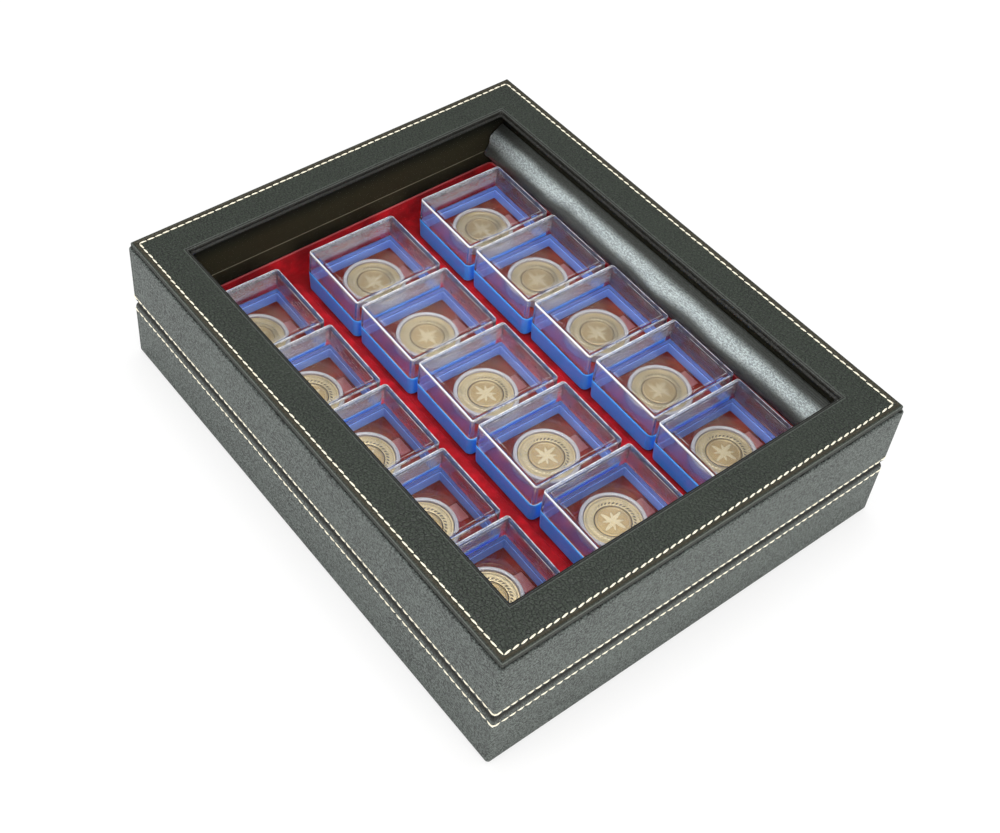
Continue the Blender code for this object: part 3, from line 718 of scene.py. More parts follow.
@dataclass(frozen=True)
class PlainFinish:
    """A plain material with fine grain, for pieces that hardly show."""

    name: str
    colour: Colour
    dark: Colour
    roughness: float
    metallic: float = 0.0
    grain: float = 0.6

    def build(self) -> bpy.types.Material:
        """Make the material."""
        tree = ShaderTree(self.name)
        where, x, y, z = tree.place()
        grain = tree.noise(where, self.grain, 4.0, 0.6)
        shade = tree.mix(grain.ramp(0.35, 0.7), self.dark, self.colour)
        return tree.finish({
            "Base Color": shade, "Roughness": self.roughness + (grain - 0.5) * 0.2, "Metallic": self.metallic,
            "Normal": tree.bump(grain, 0.05),
        })


class Finish(Enum):
    """The finishes of the case, by name."""

    FRAME_LEATHER = Leatherette("frame_leatherette", (0.008, 0.011, 0.0075), 0.46, mottle=1.0, specular=0.31, edge=(141.0, 115.0))
    WALL_LEATHER = Leatherette("wall_leatherette", (0.035, 0.041, 0.038), 0.58, mottle=0.9)
    THREAD = Thread()
    TRAY_VELOUR = Velour("tray_velour", (0.78, 0.014, 0.024), (0.95, 0.2, 0.22), (0.42, 0.009, 0.014), 30.0)
    PAD_VELOUR = Velour("pad_velour", (0.34, 0.035, 0.02), (0.6, 0.2, 0.14), (0.16, 0.02, 0.015))
    NOTCH_VELOUR = Velour("notch_velour", (0.62, 0.26, 0.24), (0.8, 0.5, 0.48), (0.45, 0.15, 0.14))
    SATIN = Satin()
    COVER = MouldedClear("clear_cover", edge=(22.65, 26.35, 15.5))
    COVER_EDGE = ClearEdge("clear_cover_edge")
    CAPSULE_LENS = ClearPlastic("clear_capsule_lens", (0.985, 0.985, 0.98), 0.03, 0.7)
    CAPSULE_RING = MouldedClear("clear_capsule_ring", (1.0, 0.98, 1.0), 0.5)
    PANE = WindowPane()
    BLUE = BluePlastic()
    # Lighter copy of the blue for the inside faces of the bases: painted light.
    BLUE_INSIDE_PAINTED_LIGHT = BluePlastic("blue_inside_painted_light", (0.2, 0.38, 1.0), (0.34, 0.52, 1.0))
    COIN = CoinMetal()
    BASE_LINING = LiningPaper("base_lining_paper")
    LID_LINING = LiningPaper("lid_lining_paper")
    BOARD = PlainFinish("fibreboard", (0.32, 0.22, 0.12), (0.2, 0.13, 0.07), 0.8)
    BOTTOM_CLOTH = PlainFinish("bottom_cloth", (0.03, 0.03, 0.03), (0.015, 0.015, 0.015), 0.85)
    BRASS = PlainFinish("hinge_brass", (0.78, 0.58, 0.27), (0.6, 0.42, 0.18), 0.3, 1.0, 1.5)

    def material(self) -> bpy.types.Material:
        """The finish's material, made once."""
        return made_material(self)


@lru_cache(maxsize=None)
def made_material(finish: Finish) -> bpy.types.Material:
    """Build a finish's material on its first use."""
    return finish.value.build()


# Mesh building


def rounded_rectangle(
    length: float, width: float, radius: float, steps: int, height: float, centre_y: float = 0.0
) -> Outline:
    """Outline of a rectangle with rounded corners, in metres from millimetres.

    Args:
        length: size along X.
        width: size along Y.
        radius: corner radius.
        steps: facets of each corner.
        height: Z of the outline.
        centre_y: Y of its middle.

    Returns:
        The points, anticlockwise from above.
    """
    points = []
    for quarter, (sign_x, sign_y) in enumerate(((1, 1), (-1, 1), (-1, -1), (1, -1))):
        for step in range(steps + 1):
            angle = math.pi / 2 * (quarter + step / steps)
            x = sign_x * (length / 2 - radius) + radius * math.cos(angle)
            y = sign_y * (width / 2 - radius) + radius * math.sin(angle) + centre_y
            points.append(Vector((x, y, height)) * MM)
    return points


def circle(radius: float, sides: int, height: float) -> Outline:
    """A circle round Z, in metres from millimetres.

    Args:
        radius: its radius.
        sides: its facets.
        height: its Z.

    Returns:
        The points, anticlockwise from above.
    """
    turns = [2 * math.pi * side / sides for side in range(sides)]
    return [Vector((radius * math.cos(turn), radius * math.sin(turn), height)) * MM for turn in turns]


def arc(centre: tuple[float, float], radius: float, start: float, end: float, steps: int) -> list[tuple[float, float]]:
    """Points on an arc of a profile.

    Args:
        centre: its middle.
        radius: its radius.
        start: start angle in degrees.
        end: end angle in degrees.
        steps: facets.

    Returns:
        The points.
    """
    points = []
    for step in range(steps + 1):
        angle = math.radians(start + (end - start) * step / steps)
        points.append((centre[0] + radius * math.cos(angle), centre[1] + radius * math.sin(angle)))
    return points


def weigh_normals(mesh: bpy.types.Mesh, sharp: float) -> None:
    """Shade a mesh smoothly while its large faces keep their own normals.

    Args:
        mesh: the mesh.
        sharp: faces over this angle apart are not blended.
    """
    limit = math.cos(math.radians(sharp))
    around = {}
    for face in mesh.polygons:
        for corner in face.loop_indices:
            entry = (corner, face.normal.copy(), face.area)
            around.setdefault(mesh.loops[corner].vertex_index, []).append(entry)
    normals = [Vector((0, 0, 1))] * len(mesh.loops)
    for entries in around.values():
        for corner, normal, _ in entries:
            total = Vector((0, 0, 0))
            for _, other, area in entries:
                if normal.dot(other) > limit:
                    total += other * area
            normals[corner] = total.normalized() if total.length > 0 else normal
    mesh.shade_smooth()
    mesh.normals_split_custom_set(normals)


def to_mesh(name: str, shape: bmesh.types.BMesh, sharp: float = 40.0) -> bpy.types.Mesh:
    """Turn a bmesh into a smooth-shaded mesh.

    Args:
        name: name of the mesh.
        shape: the bmesh, which is freed.
        sharp: edges over this angle stay sharp.

    Returns:
        The mesh.
    """
    bmesh.ops.recalc_face_normals(shape, faces=shape.faces[:])
    mesh = bpy.data.meshes.new(name)
    shape.to_mesh(mesh)
    shape.free()
    weigh_normals(mesh, sharp)
    return mesh


def skin(
    name: str, outlines: Sequence[Outline], ring: bool = False, bands: dict[int, int] | None = None,
    sharp: float = 40.0,
) -> bpy.types.Mesh:
    """Skin outlines of equal point count.

    Args:
        name: name of the mesh.
        outlines: the outlines in order.
        ring: join the last outline to the first instead of capping both.
        bands: material index of the band that starts at an outline.
        sharp: edges over this angle stay sharp.

    Returns:
        The mesh.
    """
    shape = bmesh.new()
    rings = [[shape.verts.new(point) for point in outline] for outline in outlines]
    pairs = list(zip(rings, rings[1:]))
    if ring:
        pairs.append((rings[-1], rings[0]))
    else:
        shape.faces.new(rings[0])
        shape.faces.new(rings[-1])
    count = len(rings[0])
    for band, (lower, upper) in enumerate(pairs):
        for index in range(count):
            after = (index + 1) % count
            face = shape.faces.new((lower[index], lower[after], upper[after], upper[index]))
            face.material_index = (bands or {}).get(band, 0)
    return to_mesh(name, shape, sharp)


def block_mesh(name: str, low: Sequence[float], high: Sequence[float]) -> bpy.types.Mesh:
    """A block between two corners, in metres from millimetres.

    Args:
        name: name of the mesh.
        low: lowest corner.
        high: highest corner.

    Returns:
        The mesh.
    """
    shape = bmesh.new()
    middle = [(a + b) / 2 * MM for a, b in zip(low, high)]
    size = [(b - a) * MM for a, b in zip(low, high)]
    bmesh.ops.create_cube(shape, size=1.0, matrix=Matrix.Translation(middle) @ Matrix.Diagonal((*size, 1.0)))
    return to_mesh(name, shape)


def rod_mesh(name: str, radius: float, start: float, end: float, y: float, z: float) -> bpy.types.Mesh:
    """A round bar along X, in metres from millimetres.

    Args:
        name: name of the mesh.
        radius: its radius.
        start: lowest X.
        end: highest X.
        y: Y of its axis.
        z: Z of its axis.

    Returns:
        The mesh.
    """
    shape = bmesh.new()
    place = Matrix.Translation(Vector(((start + end) / 2, y, z)) * MM) @ Matrix.Rotation(math.pi / 2, 4, "Y")
    bmesh.ops.create_cone(
        shape, cap_ends=True, segments=24, radius1=radius * MM, radius2=radius * MM,
        depth=(end - start) * MM, matrix=place,
    )
    return to_mesh(name, shape)


def cut(mesh: bpy.types.Mesh, cutters: Iterable[bpy.types.Mesh], sharp: float = 40.0) -> bpy.types.Mesh:
    """Cut meshes out of a mesh.

    Args:
        mesh: the mesh to cut.
        cutters: the closed meshes to take away.
        sharp: edges over this angle stay sharp.

    Returns:
        The cut mesh.
    """
    body = bpy.data.objects.new("cut_body", mesh)
    bpy.context.scene.collection.objects.link(body)
    tools = []
    for cutter in cutters:
        tool = bpy.data.objects.new("cut_tool", cutter)
        bpy.context.scene.collection.objects.link(tool)
        modifier = body.modifiers.new("cut", "BOOLEAN")
        modifier.operation = "DIFFERENCE"
        modifier.solver = "EXACT"
        modifier.object = tool
        tools.append(tool)
    bpy.context.view_layer.update()
    evaluated = body.evaluated_get(bpy.context.evaluated_depsgraph_get())
    result = bpy.data.meshes.new_from_object(evaluated)
    for item in (body, *tools):
        bpy.data.objects.remove(item, do_unlink=True)
    weigh_normals(result, sharp)
    return result


def show(
    name: str, mesh: bpy.types.Mesh, finishes: Sequence[Finish], body: str,
    replaces: Sequence[str] = (), location: Sequence[float] = (0, 0, 0), turn: float = 0.0,
) -> bpy.types.Object:
    """Add a piece that rides on a body.

    Args:
        name: name of the piece.
        mesh: its mesh, in metres.
        finishes: its finishes in material order.
        body: the body it rides on.
        replaces: nodes that it stands for.
        location: its place in metres.
        turn: its turn about Z in radians.

    Returns:
        The object.
    """
    piece = bpy.data.objects.new(name, mesh)
    piece.location = location
    piece.rotation_euler = (0, 0, turn)
    if not mesh.materials:
        for finish in finishes:
            mesh.materials.append(finish.material())
    bpy.context.scene.collection.objects.link(piece)
    bpy.context.view_layer.update()
    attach(piece, body)
    if replaces:
        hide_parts(*replaces)
    LOG.info("made %s", name)
    return piece


def dress(node: str, finish: Finish) -> None:
    """Give a CAD node a finish."""
    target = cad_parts[node]
    target.data.materials.clear()
    target.data.materials.append(finish.material())
    LOG.info("dressed %s", node)


class Body(Enum):
    """The bodies that pieces ride on."""

    BASE = "case_base"
    LID = "lid"


# Sub-assemblies


@dataclass
class StitchRun:
    """A row of slanted stitches along a closed path."""

    pitch: float = 4.13
    length: float = 3.75
    half_width: float = 0.47
    rise: float = 0.36
    sides: int = 8
    rings: int = 7

    def stitch(self, shape: bmesh.types.BMesh, middle: Vector, along: Vector, out: Vector, slant: float) -> None:
        """Add one stitch.

        Args:
            shape: the bmesh to add to.
            middle: its middle on the leather, in metres.
            along: the direction of the run.
            out: the direction out of the leather.
            slant: how far it leans to the side for each length.
        """
        side = along.cross(out).normalized()
        heading = (along + side * slant).normalized()
        side = heading.cross(out).normalized()
        rings = []
        for index in range(self.rings):
            share = index / (self.rings - 1)
            swell = math.sin(math.pi * min(max(share, 0.06), 0.94)) ** 0.5
            centre = middle + heading * ((share - 0.5) * self.length * MM)
            centre += out * ((swell - 1.0) * self.rise * MM)
            ring = []
            for step in range(self.sides):
                turn = 2 * math.pi * step / self.sides
                width = self.half_width * (0.45 + 0.55 * swell) * math.cos(turn)
                height = self.rise * (0.45 + 0.55 * swell) * math.sin(turn)
                ring.append(shape.verts.new(centre + (side * width + out * height) * MM))
            rings.append(ring)
        for first, second in zip(rings, rings[1:]):
            for step in range(self.sides):
                after = (step + 1) % self.sides
                shape.faces.new((first[step], first[after], second[after], second[step]))
        shape.faces.new(rings[0])
        shape.faces.new(rings[-1])

    def build(
        self, name: str, corners: Sequence[Vector], outward: Sequence[Vector], slants: Sequence[float], seed: int
    ) -> bpy.types.Mesh:
        """Sew along a closed path of straight sides.

        Args:
            name: name of the mesh.
            corners: the corners in millimetres.
            outward: the direction out of the leather on each side.
            slants: the slant of the stitches on each side.
            seed: seed of the small unevenness.

        Returns:
            The mesh of all stitches.
        """
        wobble = random.Random(seed)
        shape = bmesh.new()
        for index, start in enumerate(corners):
            end = corners[(index + 1) % len(corners)]
            run = end - start
            count = max(1, round(run.length / self.pitch))
            along = run.normalized()
            side = along.cross(outward[index])
            for stitch in range(count):
                place = start + run * ((stitch + 0.5) / count)
                place = place + side * wobble.uniform(-0.12, 0.12) + along * wobble.uniform(-0.15, 0.15)
                self.stitch(shape, place * MM, along, outward[index], slants[index])
        return to_mesh(name, shape, 60.0)


@dataclass
class CaseShell:
    """Covered walls of base and lid, the top frame and their stitching."""

    length: float = 284.0
    depth: float = 232.0
    height: float = 75.0
    setback: float = 1.0
    wall: float = 7.0
    corner: float = 1.7
    inner_corner: float = 1.0
    seam: float = 35.2
    gap: float = 0.3
    roll: float = 3.2
    wall_bottom: float = 1.0
    wall_top: float = 71.7
    frame_bottom: float = 72.0
    border: float = 22.2
    lip: float = 1.2
    steps: int = 8
    stitch_from_seam: tuple[float, float] = (4.7, 4.1)
    stitch_from_edge: float = 3.3
    stitch_bed: float = 0.22
    hinge_y: float = 114.3
    hinge_centres: tuple[float, float] = (-80.0, 80.0)
    hinge_half: float = 15.3

    def wall_outline(self, inset: float, height: float) -> Outline:
        """Outline of the covered walls, drawn in by inset."""
        radius = max(self.corner - inset, 0.4)
        return rounded_rectangle(self.length - 2 * inset, self.depth - 2 * inset, radius, self.steps, height)

    def cavity_outline(self, height: float) -> Outline:
        """Outline of the inner faces of the walls."""
        length, depth = self.length - 2 * self.wall, self.depth - 2 * self.wall
        return rounded_rectangle(length, depth, self.inner_corner, self.steps, height)

    def seam_profile(self, side: int) -> list[tuple[float, float]]:
        """Inset and distance from the seam of the rolled edge and its stitch bed.

        Args:
            side: -1 for the base and +1 for the lid.

        Returns:
            The points, from the flat of the wall to the seam.
        """
        bed = self.stitch_from_seam[side > 0]
        points = [(0.0, bed + 1.5), (0.05, bed + 0.8), (self.stitch_bed, bed), (0.1, bed - 0.45)]
        centre = (self.roll + 0.06, self.roll + self.gap / 2)
        for x, z in arc(centre, self.roll - 0.05, 175.0, 275.0, 8):
            points.append((x, max(z, self.gap / 2)))
        return points

    def mortises(self, side: int) -> list[bpy.types.Mesh]:
        """Cutters that let the hinges into the back wall.

        Args:
            side: -1 for the base and +1 for the lid.

        Returns:
            The cutters.
        """
        cutters = []
        inner = self.depth / 2 - self.wall
        for index, centre in enumerate(self.hinge_centres):
            start, end = centre - self.hinge_half, centre + self.hinge_half
            far = self.seam + side * 12.6
            near = self.seam - side * 3.0
            low, high = min(near, far), max(near, far)
            cutters.append(block_mesh(f"flange_{index}", (start, inner - 3.0, low), (end, inner + 1.25, high)))
            far = self.seam + side * 1.45
            low, high = min(near, far), max(near, far)
            web_end = self.hinge_y - 0.8
            cutters.append(block_mesh(f"web_{index}", (start, inner - 3.1, low), (end, web_end, high)))
            cutters.append(rod_mesh(f"knuckle_{index}", 1.9, start, end, self.hinge_y, self.seam))
        return cutters

    def base_walls(self) -> None:
        """Make the walls of the base."""
        low = self.wall_bottom
        outlines = [
            self.wall_outline(1.0, low), self.wall_outline(0.45, low + 0.12),
            self.wall_outline(0.12, low + 0.45), self.wall_outline(0.0, low + 1.0),
        ]
        outlines += [self.wall_outline(inset, self.seam - drop) for inset, drop in self.seam_profile(-1)]
        top = self.seam - self.gap / 2
        outlines += [self.cavity_outline(top), self.cavity_outline(low)]
        mesh = cut(skin("base_walls_covered", outlines, True), self.mortises(-1), 50.0)
        show("base_walls_covered", mesh, [Finish.WALL_LEATHER], Body.BASE.value, ["base_walls"])

    def lid_walls(self) -> None:
        """Make the walls of the lid."""
        high = self.wall_top
        outlines = [self.wall_outline(inset, self.seam + rise) for inset, rise in reversed(self.seam_profile(1))]
        outlines += [self.wall_outline(0.0, high - 0.8), self.wall_outline(0.3, high - 0.25), self.wall_outline(0.8, high)]
        outlines += [self.cavity_outline(high), self.cavity_outline(self.seam + self.gap / 2)]
        mesh = cut(skin("lid_walls_covered", outlines, True), self.mortises(1), 50.0)
        show("lid_walls_covered", mesh, [Finish.WALL_LEATHER], Body.LID.value, ["lid_walls"])

    def frame_outline(self, inset: float, height: float) -> Outline:
        """Outer outline of the top frame, drawn in by inset."""
        return self.wall_outline(self.setback + inset, height)

    def window_outline(self, spread: float, height: float) -> Outline:
        """Outline of the window, widened by spread."""
        length = self.length - 2 * self.border + 2 * spread
        depth = self.depth - 2 * self.border + 2 * spread
        return rounded_rectangle(length, depth, self.inner_corner + max(spread, 0.0) * 0.4, self.steps, height)

    def top_frame(self) -> None:
        """Make the top frame with its piped edge, stitch bed and window edge."""
        low, high = self.frame_bottom, self.height
        edge = [(0.35, low), (0.05, low + 0.25), (0.0, low + 0.7), (0.05, low + 1.05), (0.38, low + 1.25),
                (0.06, low + 1.45), (0.0, low + 1.8)]
        outlines = [self.frame_outline(inset, z) for inset, z in edge]
        for x, z in arc((1.1, high - 1.1), 1.1, 180.0, 90.0, 6)[1:]:
            outlines.append(self.frame_outline(x, z))
        bed = self.stitch_from_edge
        for inset, z in ((bed - 1.2, high - 0.02), (bed - 0.8, high - 0.1), (bed, high - self.stitch_bed - 0.05),
                         (bed + 1.1, high - 0.07), (bed + 3.2, high - 0.02)):
            outlines.append(self.frame_outline(inset, z))
        outlines.append(self.window_outline(self.lip + 3.4, high - 0.02))
        outlines.append(self.window_outline(self.lip + 2.2, high - 0.1))
        for x, z in arc((1.3, high - 1.45), 1.3, 90.0, 180.0, 5):
            outlines.append(self.window_outline(self.lip + x, z))
        outlines += [
            self.window_outline(self.lip, low + 1.0), self.window_outline(self.lip - 0.3, low + 0.86),
            self.window_outline(0.35, low + 0.86), self.window_outline(0.0, low + 0.55), self.window_outline(0.0, low),
        ]
        mesh = skin("top_frame_covered", outlines, True, None, 45.0)
        show("top_frame_covered", mesh, [Finish.FRAME_LEATHER], Body.LID.value, ["lid_top_frame"])

    def stitching(self) -> None:
        """Sew the rows on the top frame and on both sides of the seam."""
        run = StitchRun()
        inset = self.setback + self.stitch_from_edge
        x, y = self.length / 2 - inset, self.depth / 2 - inset
        z = self.height - self.stitch_bed - 0.05
        corners = [Vector((x, y, z)), Vector((-x, y, z)), Vector((-x, -y, z)), Vector((x, -y, z))]
        up = [Vector((0, 0, 1))] * 4
        mesh = run.build("frame_stitches", corners, up, (-0.1, 0.05, -0.08, -0.18), 5)
        show("frame_stitches", mesh, [Finish.THREAD], Body.LID.value)
        inset = self.stitch_bed
        x, y = self.length / 2 - inset, self.depth / 2 - inset
        outward = [Vector((0, 1, 0)), Vector((-1, 0, 0)), Vector((0, -1, 0)), Vector((1, 0, 0))]
        for name, side, body in (("base_stitches", -1, Body.BASE), ("lid_stitches", 1, Body.LID)):
            z = self.seam + side * self.stitch_from_seam[side > 0]
            corners = [Vector((x, y, z)), Vector((-x, y, z)), Vector((-x, -y, z)), Vector((x, -y, z))]
            mesh = StitchRun(half_width=0.62, rise=0.5).build(name, corners, outward, (0.06,) * 4, 7 + side)
            show(name, mesh, [Finish.THREAD], body.value)

    def build(self) -> None:
        """Make every piece of the shell."""
        self.base_walls()
        self.lid_walls()
        self.top_frame()
        self.stitching()


@dataclass
class Interior:
    """Linings, boards, pane and hinges, which keep their CAD shapes."""

    def build(self) -> None:
        """Dress the nodes."""
        dress("base_lining", Finish.BASE_LINING)
        dress("lid_lining", Finish.LID_LINING)
        for node in ("base_bottom_board", "tray_spacer"):
            dress(node, Finish.BOARD)
        dress("base_bottom_sheet", Finish.BOTTOM_CLOTH)
        dress("window_glass", Finish.PANE)
        for side in ("left", "right"):
            for leaf in ("lower", "upper"):
                dress(f"hinge_{side}_{leaf}_leaf", Finish.BRASS)


@dataclass
class Tray:
    """The flocked tray with its two ribs."""

    wall: float = 1.5
    corner: float = 3.0
    cove: float = 2.2
    floor_top: float = 17.5
    rib_crest: float = 19.5
    rib_width: float = 14.55
    rib_end_space: float = 9.5
    column_pitch: float = 70.85
    columns_centre: float = -5.2
    steps: int = 6

    def outline(self, inset: float, height: float) -> Outline:
        """Outline of the tray, drawn in by inset."""
        low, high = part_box("coin_tray")
        size = (high - low) / MM
        centre = (high + low) / (2 * MM)
        radius = max(self.corner - inset, 0.5)
        return rounded_rectangle(size.x - 2 * inset, size.y - 2 * inset, radius, self.steps, height, centre.y)

    def build(self) -> None:
        """Make the tray and its ribs."""
        low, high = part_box("coin_tray")
        bottom, rim = low.z / MM, high.z / MM
        outlines = [self.outline(0.0, bottom), self.outline(0.0, rim - 0.75)]
        for x, z in arc((0.75, rim - 0.75), 0.75, 180.0, 0.0, 6):
            outlines.append(self.outline(x, z))
        for x, z in arc((self.wall + self.cove, self.floor_top + self.cove), self.cove, 180.0, 270.0, 5):
            outlines.append(self.outline(x, z))
        mesh = skin("velour_tray", outlines)
        show("velour_tray", mesh, [Finish.TRAY_VELOUR], Body.BASE.value, ["coin_tray"])
        length = (high - low).x / MM - 2 * (self.wall + self.rib_end_space)
        for name, side in (("front", -1), ("back", 1)):
            centre = self.columns_centre + side * self.column_pitch / 2
            crest = [(0.0, self.floor_top - 0.5), (0.0, self.rib_crest - 0.9)]
            crest += arc((0.9, self.rib_crest - 0.9), 0.9, 160.0, 90.0, 4)
            outlines = []
            for inset, z in crest:
                outlines.append(
                    rounded_rectangle(length - 2 * inset, self.rib_width - 2 * inset, 3.0 - inset, self.steps, z, centre)
                )
            mesh = skin(f"velour_rib_{name}", outlines)
            show(f"velour_rib_{name}", mesh, [Finish.TRAY_VELOUR], Body.BASE.value)


@dataclass
class CoinBox:
    """A blue moulded base with a velour pad, a clear cover and a coin in its capsule."""

    length: float = 45.3
    width: float = 52.7
    corner: float = 3.6
    base_height: float = 11.7
    draft: float = 0.7
    rim: float = 1.0
    wall: float = 2.6
    seat: float = 9.2
    floor: float = 1.6
    pad_top: float = 4.7
    recess: float = 1.0
    cover_height: float = 15.5
    cover_wall: float = 1.8
    cover_setback: float = 0.5
    cover_draft: float = 0.3
    cover_gap: float = 0.3
    cover_corner: float = 2.6
    shoulder: float = 2.5
    capsule_radius: float = 15.75
    capsule_height: float = 5.5
    ring_width: float = 1.95
    coin_radius: float = 13.6
    coin_face: float = 4.2
    notch: tuple[float, float, float] = (10.0, 14.0, 22.15)
    steps: int = 7
    sides: int = 64

    def outline(self, inset: float, height: float, corner: float | None = None) -> Outline:
        """Outline of the base, drawn in by inset."""
        radius = max((corner or self.corner) - inset, 0.5)
        return rounded_rectangle(self.length - 2 * inset, self.width - 2 * inset, radius, self.steps, height)

    def base_mesh(self) -> bpy.types.Mesh:
        """The blue base: foot, drafted wall, rounded rim, step and inside."""
        top = self.base_height
        points = [(self.draft + 1.2, 0.0), (self.draft + 0.5, 0.12), (self.draft + 0.12, 0.5), (self.draft, 1.1)]
        points += arc((0.55, top - 0.55), 0.55, 176.0, 90.0, 4)
        points += arc((self.rim - 0.2, top - 0.2), 0.2, 90.0, 0.0, 2)
        points += [(self.rim, self.seat + 0.1), (self.rim + 0.1, self.seat), (self.wall - 0.2, self.seat),
                   (self.wall, self.seat - 0.2), (self.wall + 0.15, self.floor)]
        # The inside faces take the lighter blue, which is painted light.
        inside = {band: 1 for band in range(len(points) - 7, len(points) - 1)}
        return skin("coin_box_base", [self.outline(x, z) for x, z in points], False, inside)

    def pad_mesh(self) -> bpy.types.Mesh:
        """The velour pad with its round seat and its finger notch."""
        inset = self.wall + 0.3
        outlines = [self.outline(inset, self.floor + 0.02), self.outline(inset, self.pad_top - 0.5),
                    self.outline(inset + 0.15, self.pad_top - 0.15), self.outline(inset + 0.5, self.pad_top)]
        count = 4 * (self.steps + 1)
        seat = self.capsule_radius + 0.5
        for radius, z in ((seat + 0.4, self.pad_top), (seat, self.pad_top - 0.25), (seat - 0.1, self.pad_top - self.recess)):
            outlines.append([Matrix.Rotation(math.pi / count, 3, "Z") @ point for point in circle(radius, count, z)])
        body = skin("coin_pad", outlines)
        width, start, end = self.notch
        low = (-width / 2, start, self.pad_top - 0.7)
        return cut(body, [block_mesh("notch", low, (width / 2, end, self.pad_top + 2.0))])

    def notch_mesh(self) -> bpy.types.Mesh:
        """The paler lining of the finger notch with a clear strip at its far end."""
        width, start, end = self.notch
        near, far = start + 2.6, end - 0.15
        half = width / 2 - 0.15
        z = self.pad_top - 0.68
        length, depth = 2 * half, far - near
        middle = Vector((0, (near + far) / 2, 0)) * MM
        outlines = []
        for inset, rise in ((0.0, -0.1), (0.0, 0.5), (0.3, 0.7)):
            ring = rounded_rectangle(length - 2 * inset, depth - 2 * inset, 0.5, 3, z + rise)
            outlines.append([point + middle for point in ring])
        return skin("notch_lining", outlines)

    def cover_mesh(self) -> bpy.types.Mesh:
        """The clear cover, from its ceiling down to its skirt and up over its shoulder to its top."""
        skirt = self.rim + self.cover_gap
        inside = self.cover_setback + self.cover_wall
        upper = self.cover_setback + self.cover_draft
        top, ceiling = self.cover_height, self.cover_height - 1.8
        points = arc((upper + self.cover_wall + 0.4, ceiling - 0.4), 0.4, 90.0, 180.0, 4)
        points += [(inside, 0.12), (inside - 0.12, 0.0), (skirt + 0.15, 0.0), (skirt, 0.15)]
        points += [(skirt, self.shoulder - 0.1), (skirt - 0.1, self.shoulder)]
        points += [(self.cover_setback + 0.12, self.shoulder), (self.cover_setback, self.shoulder + 0.12)]
        points += arc((upper + 0.4, top - 0.4), 0.4, 180.0, 90.0, 5)
        outlines = [self.outline(x, z, self.cover_corner) for x, z in points]
        return skin("clear_cover", outlines, False, None, 50.0)

    def turned(self, name: str, points: Sequence[tuple[float, float]]) -> bpy.types.Mesh:
        """A turned shape from radius and height."""
        return skin(name, [circle(radius, self.sides, z) for radius, z in points])

    def ring_mesh(self) -> bpy.types.Mesh:
        """The clear ring of the capsule, round the coin."""
        r, top, width = self.capsule_radius, self.capsule_height, self.ring_width
        points = [(r - width, 0.1), (r - 0.8, 0.0), (r - 0.15, 0.3), (r, 1.0)]
        points += arc((r - 0.75, top - 0.75), 0.75, 0.0, 90.0, 5)
        points += [(r - width + 0.3, top - 0.1), (r - width, top - 0.4)]
        return skin("capsule_ring", [circle(radius, self.sides, z) for radius, z in points], True, None, 50.0)

    def lens_mesh(self) -> bpy.types.Mesh:
        """The thin clear lens of the capsule."""
        r, top = self.capsule_radius - self.ring_width - 0.05, self.capsule_height
        points = [(r - 0.1, top - 1.15), (r, top - 1.05), (r, top - 0.6), (r - 0.15, top - 0.5)]
        return self.turned("capsule_lens", points)

    def coin_mesh(self) -> bpy.types.Mesh:
        """The coin: reeded edge, rim, flat ring, groove and core."""
        r, face = self.coin_radius, self.coin_face
        points = [(r, face - 2.0), (r, face + 0.1), (r - 0.15, face + 0.28), (r - 0.9, face + 0.28),
                  (r - 1.15, face + 0.02), (8.85, face), (8.6, face - 0.14), (8.35, face + 0.02), (7.0, face + 0.08), (2.0, face + 0.1)]
        return self.turned("struck_coin", points)

    def build(self, name: str, meshes: dict[str, bpy.types.Mesh], turn: float, base_turn: float) -> None:
        """Place one box where its nodes are.

        Args:
            name: column and row of the box.
            meshes: the shared meshes by piece.
            turn: its turn in radians.
            base_turn: the coin's own turn in radians.
        """
        low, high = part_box(f"box_base_{name}")
        cover_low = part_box(f"box_cover_{name}")[0]
        capsule_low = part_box(f"coin_capsule_{name}")[0]
        x, y = (low.x + high.x) / 2, (low.y + high.y) / 2
        body = Body.BASE.value
        foot = (x, y, low.z)
        show(f"blue_base_{name}", meshes["base"], [Finish.BLUE, Finish.BLUE_INSIDE_PAINTED_LIGHT], body,
             [f"box_base_{name}"], foot, turn)
        show(f"velour_pad_{name}", meshes["pad"], [Finish.PAD_VELOUR], body, (), foot, turn)
        show(f"notch_lining_{name}", meshes["notch"], [Finish.NOTCH_VELOUR], body, (), foot, turn)
        seat = (x, y, capsule_low.z)
        show(f"struck_coin_{name}", meshes["coin"], [Finish.COIN], body, [f"coin_capsule_{name}"], seat, base_turn)
        show(f"capsule_ring_{name}", meshes["ring"], [Finish.CAPSULE_RING], body, (), seat, turn)
        show(f"capsule_lens_{name}", meshes["lens"], [Finish.CAPSULE_LENS], body, (), seat, turn)
        place = (x, y, cover_low.z)
        show(f"clear_cover_{name}", meshes["cover"], [Finish.COVER], f"cover_{name}",
             [f"box_cover_{name}"], place, turn)


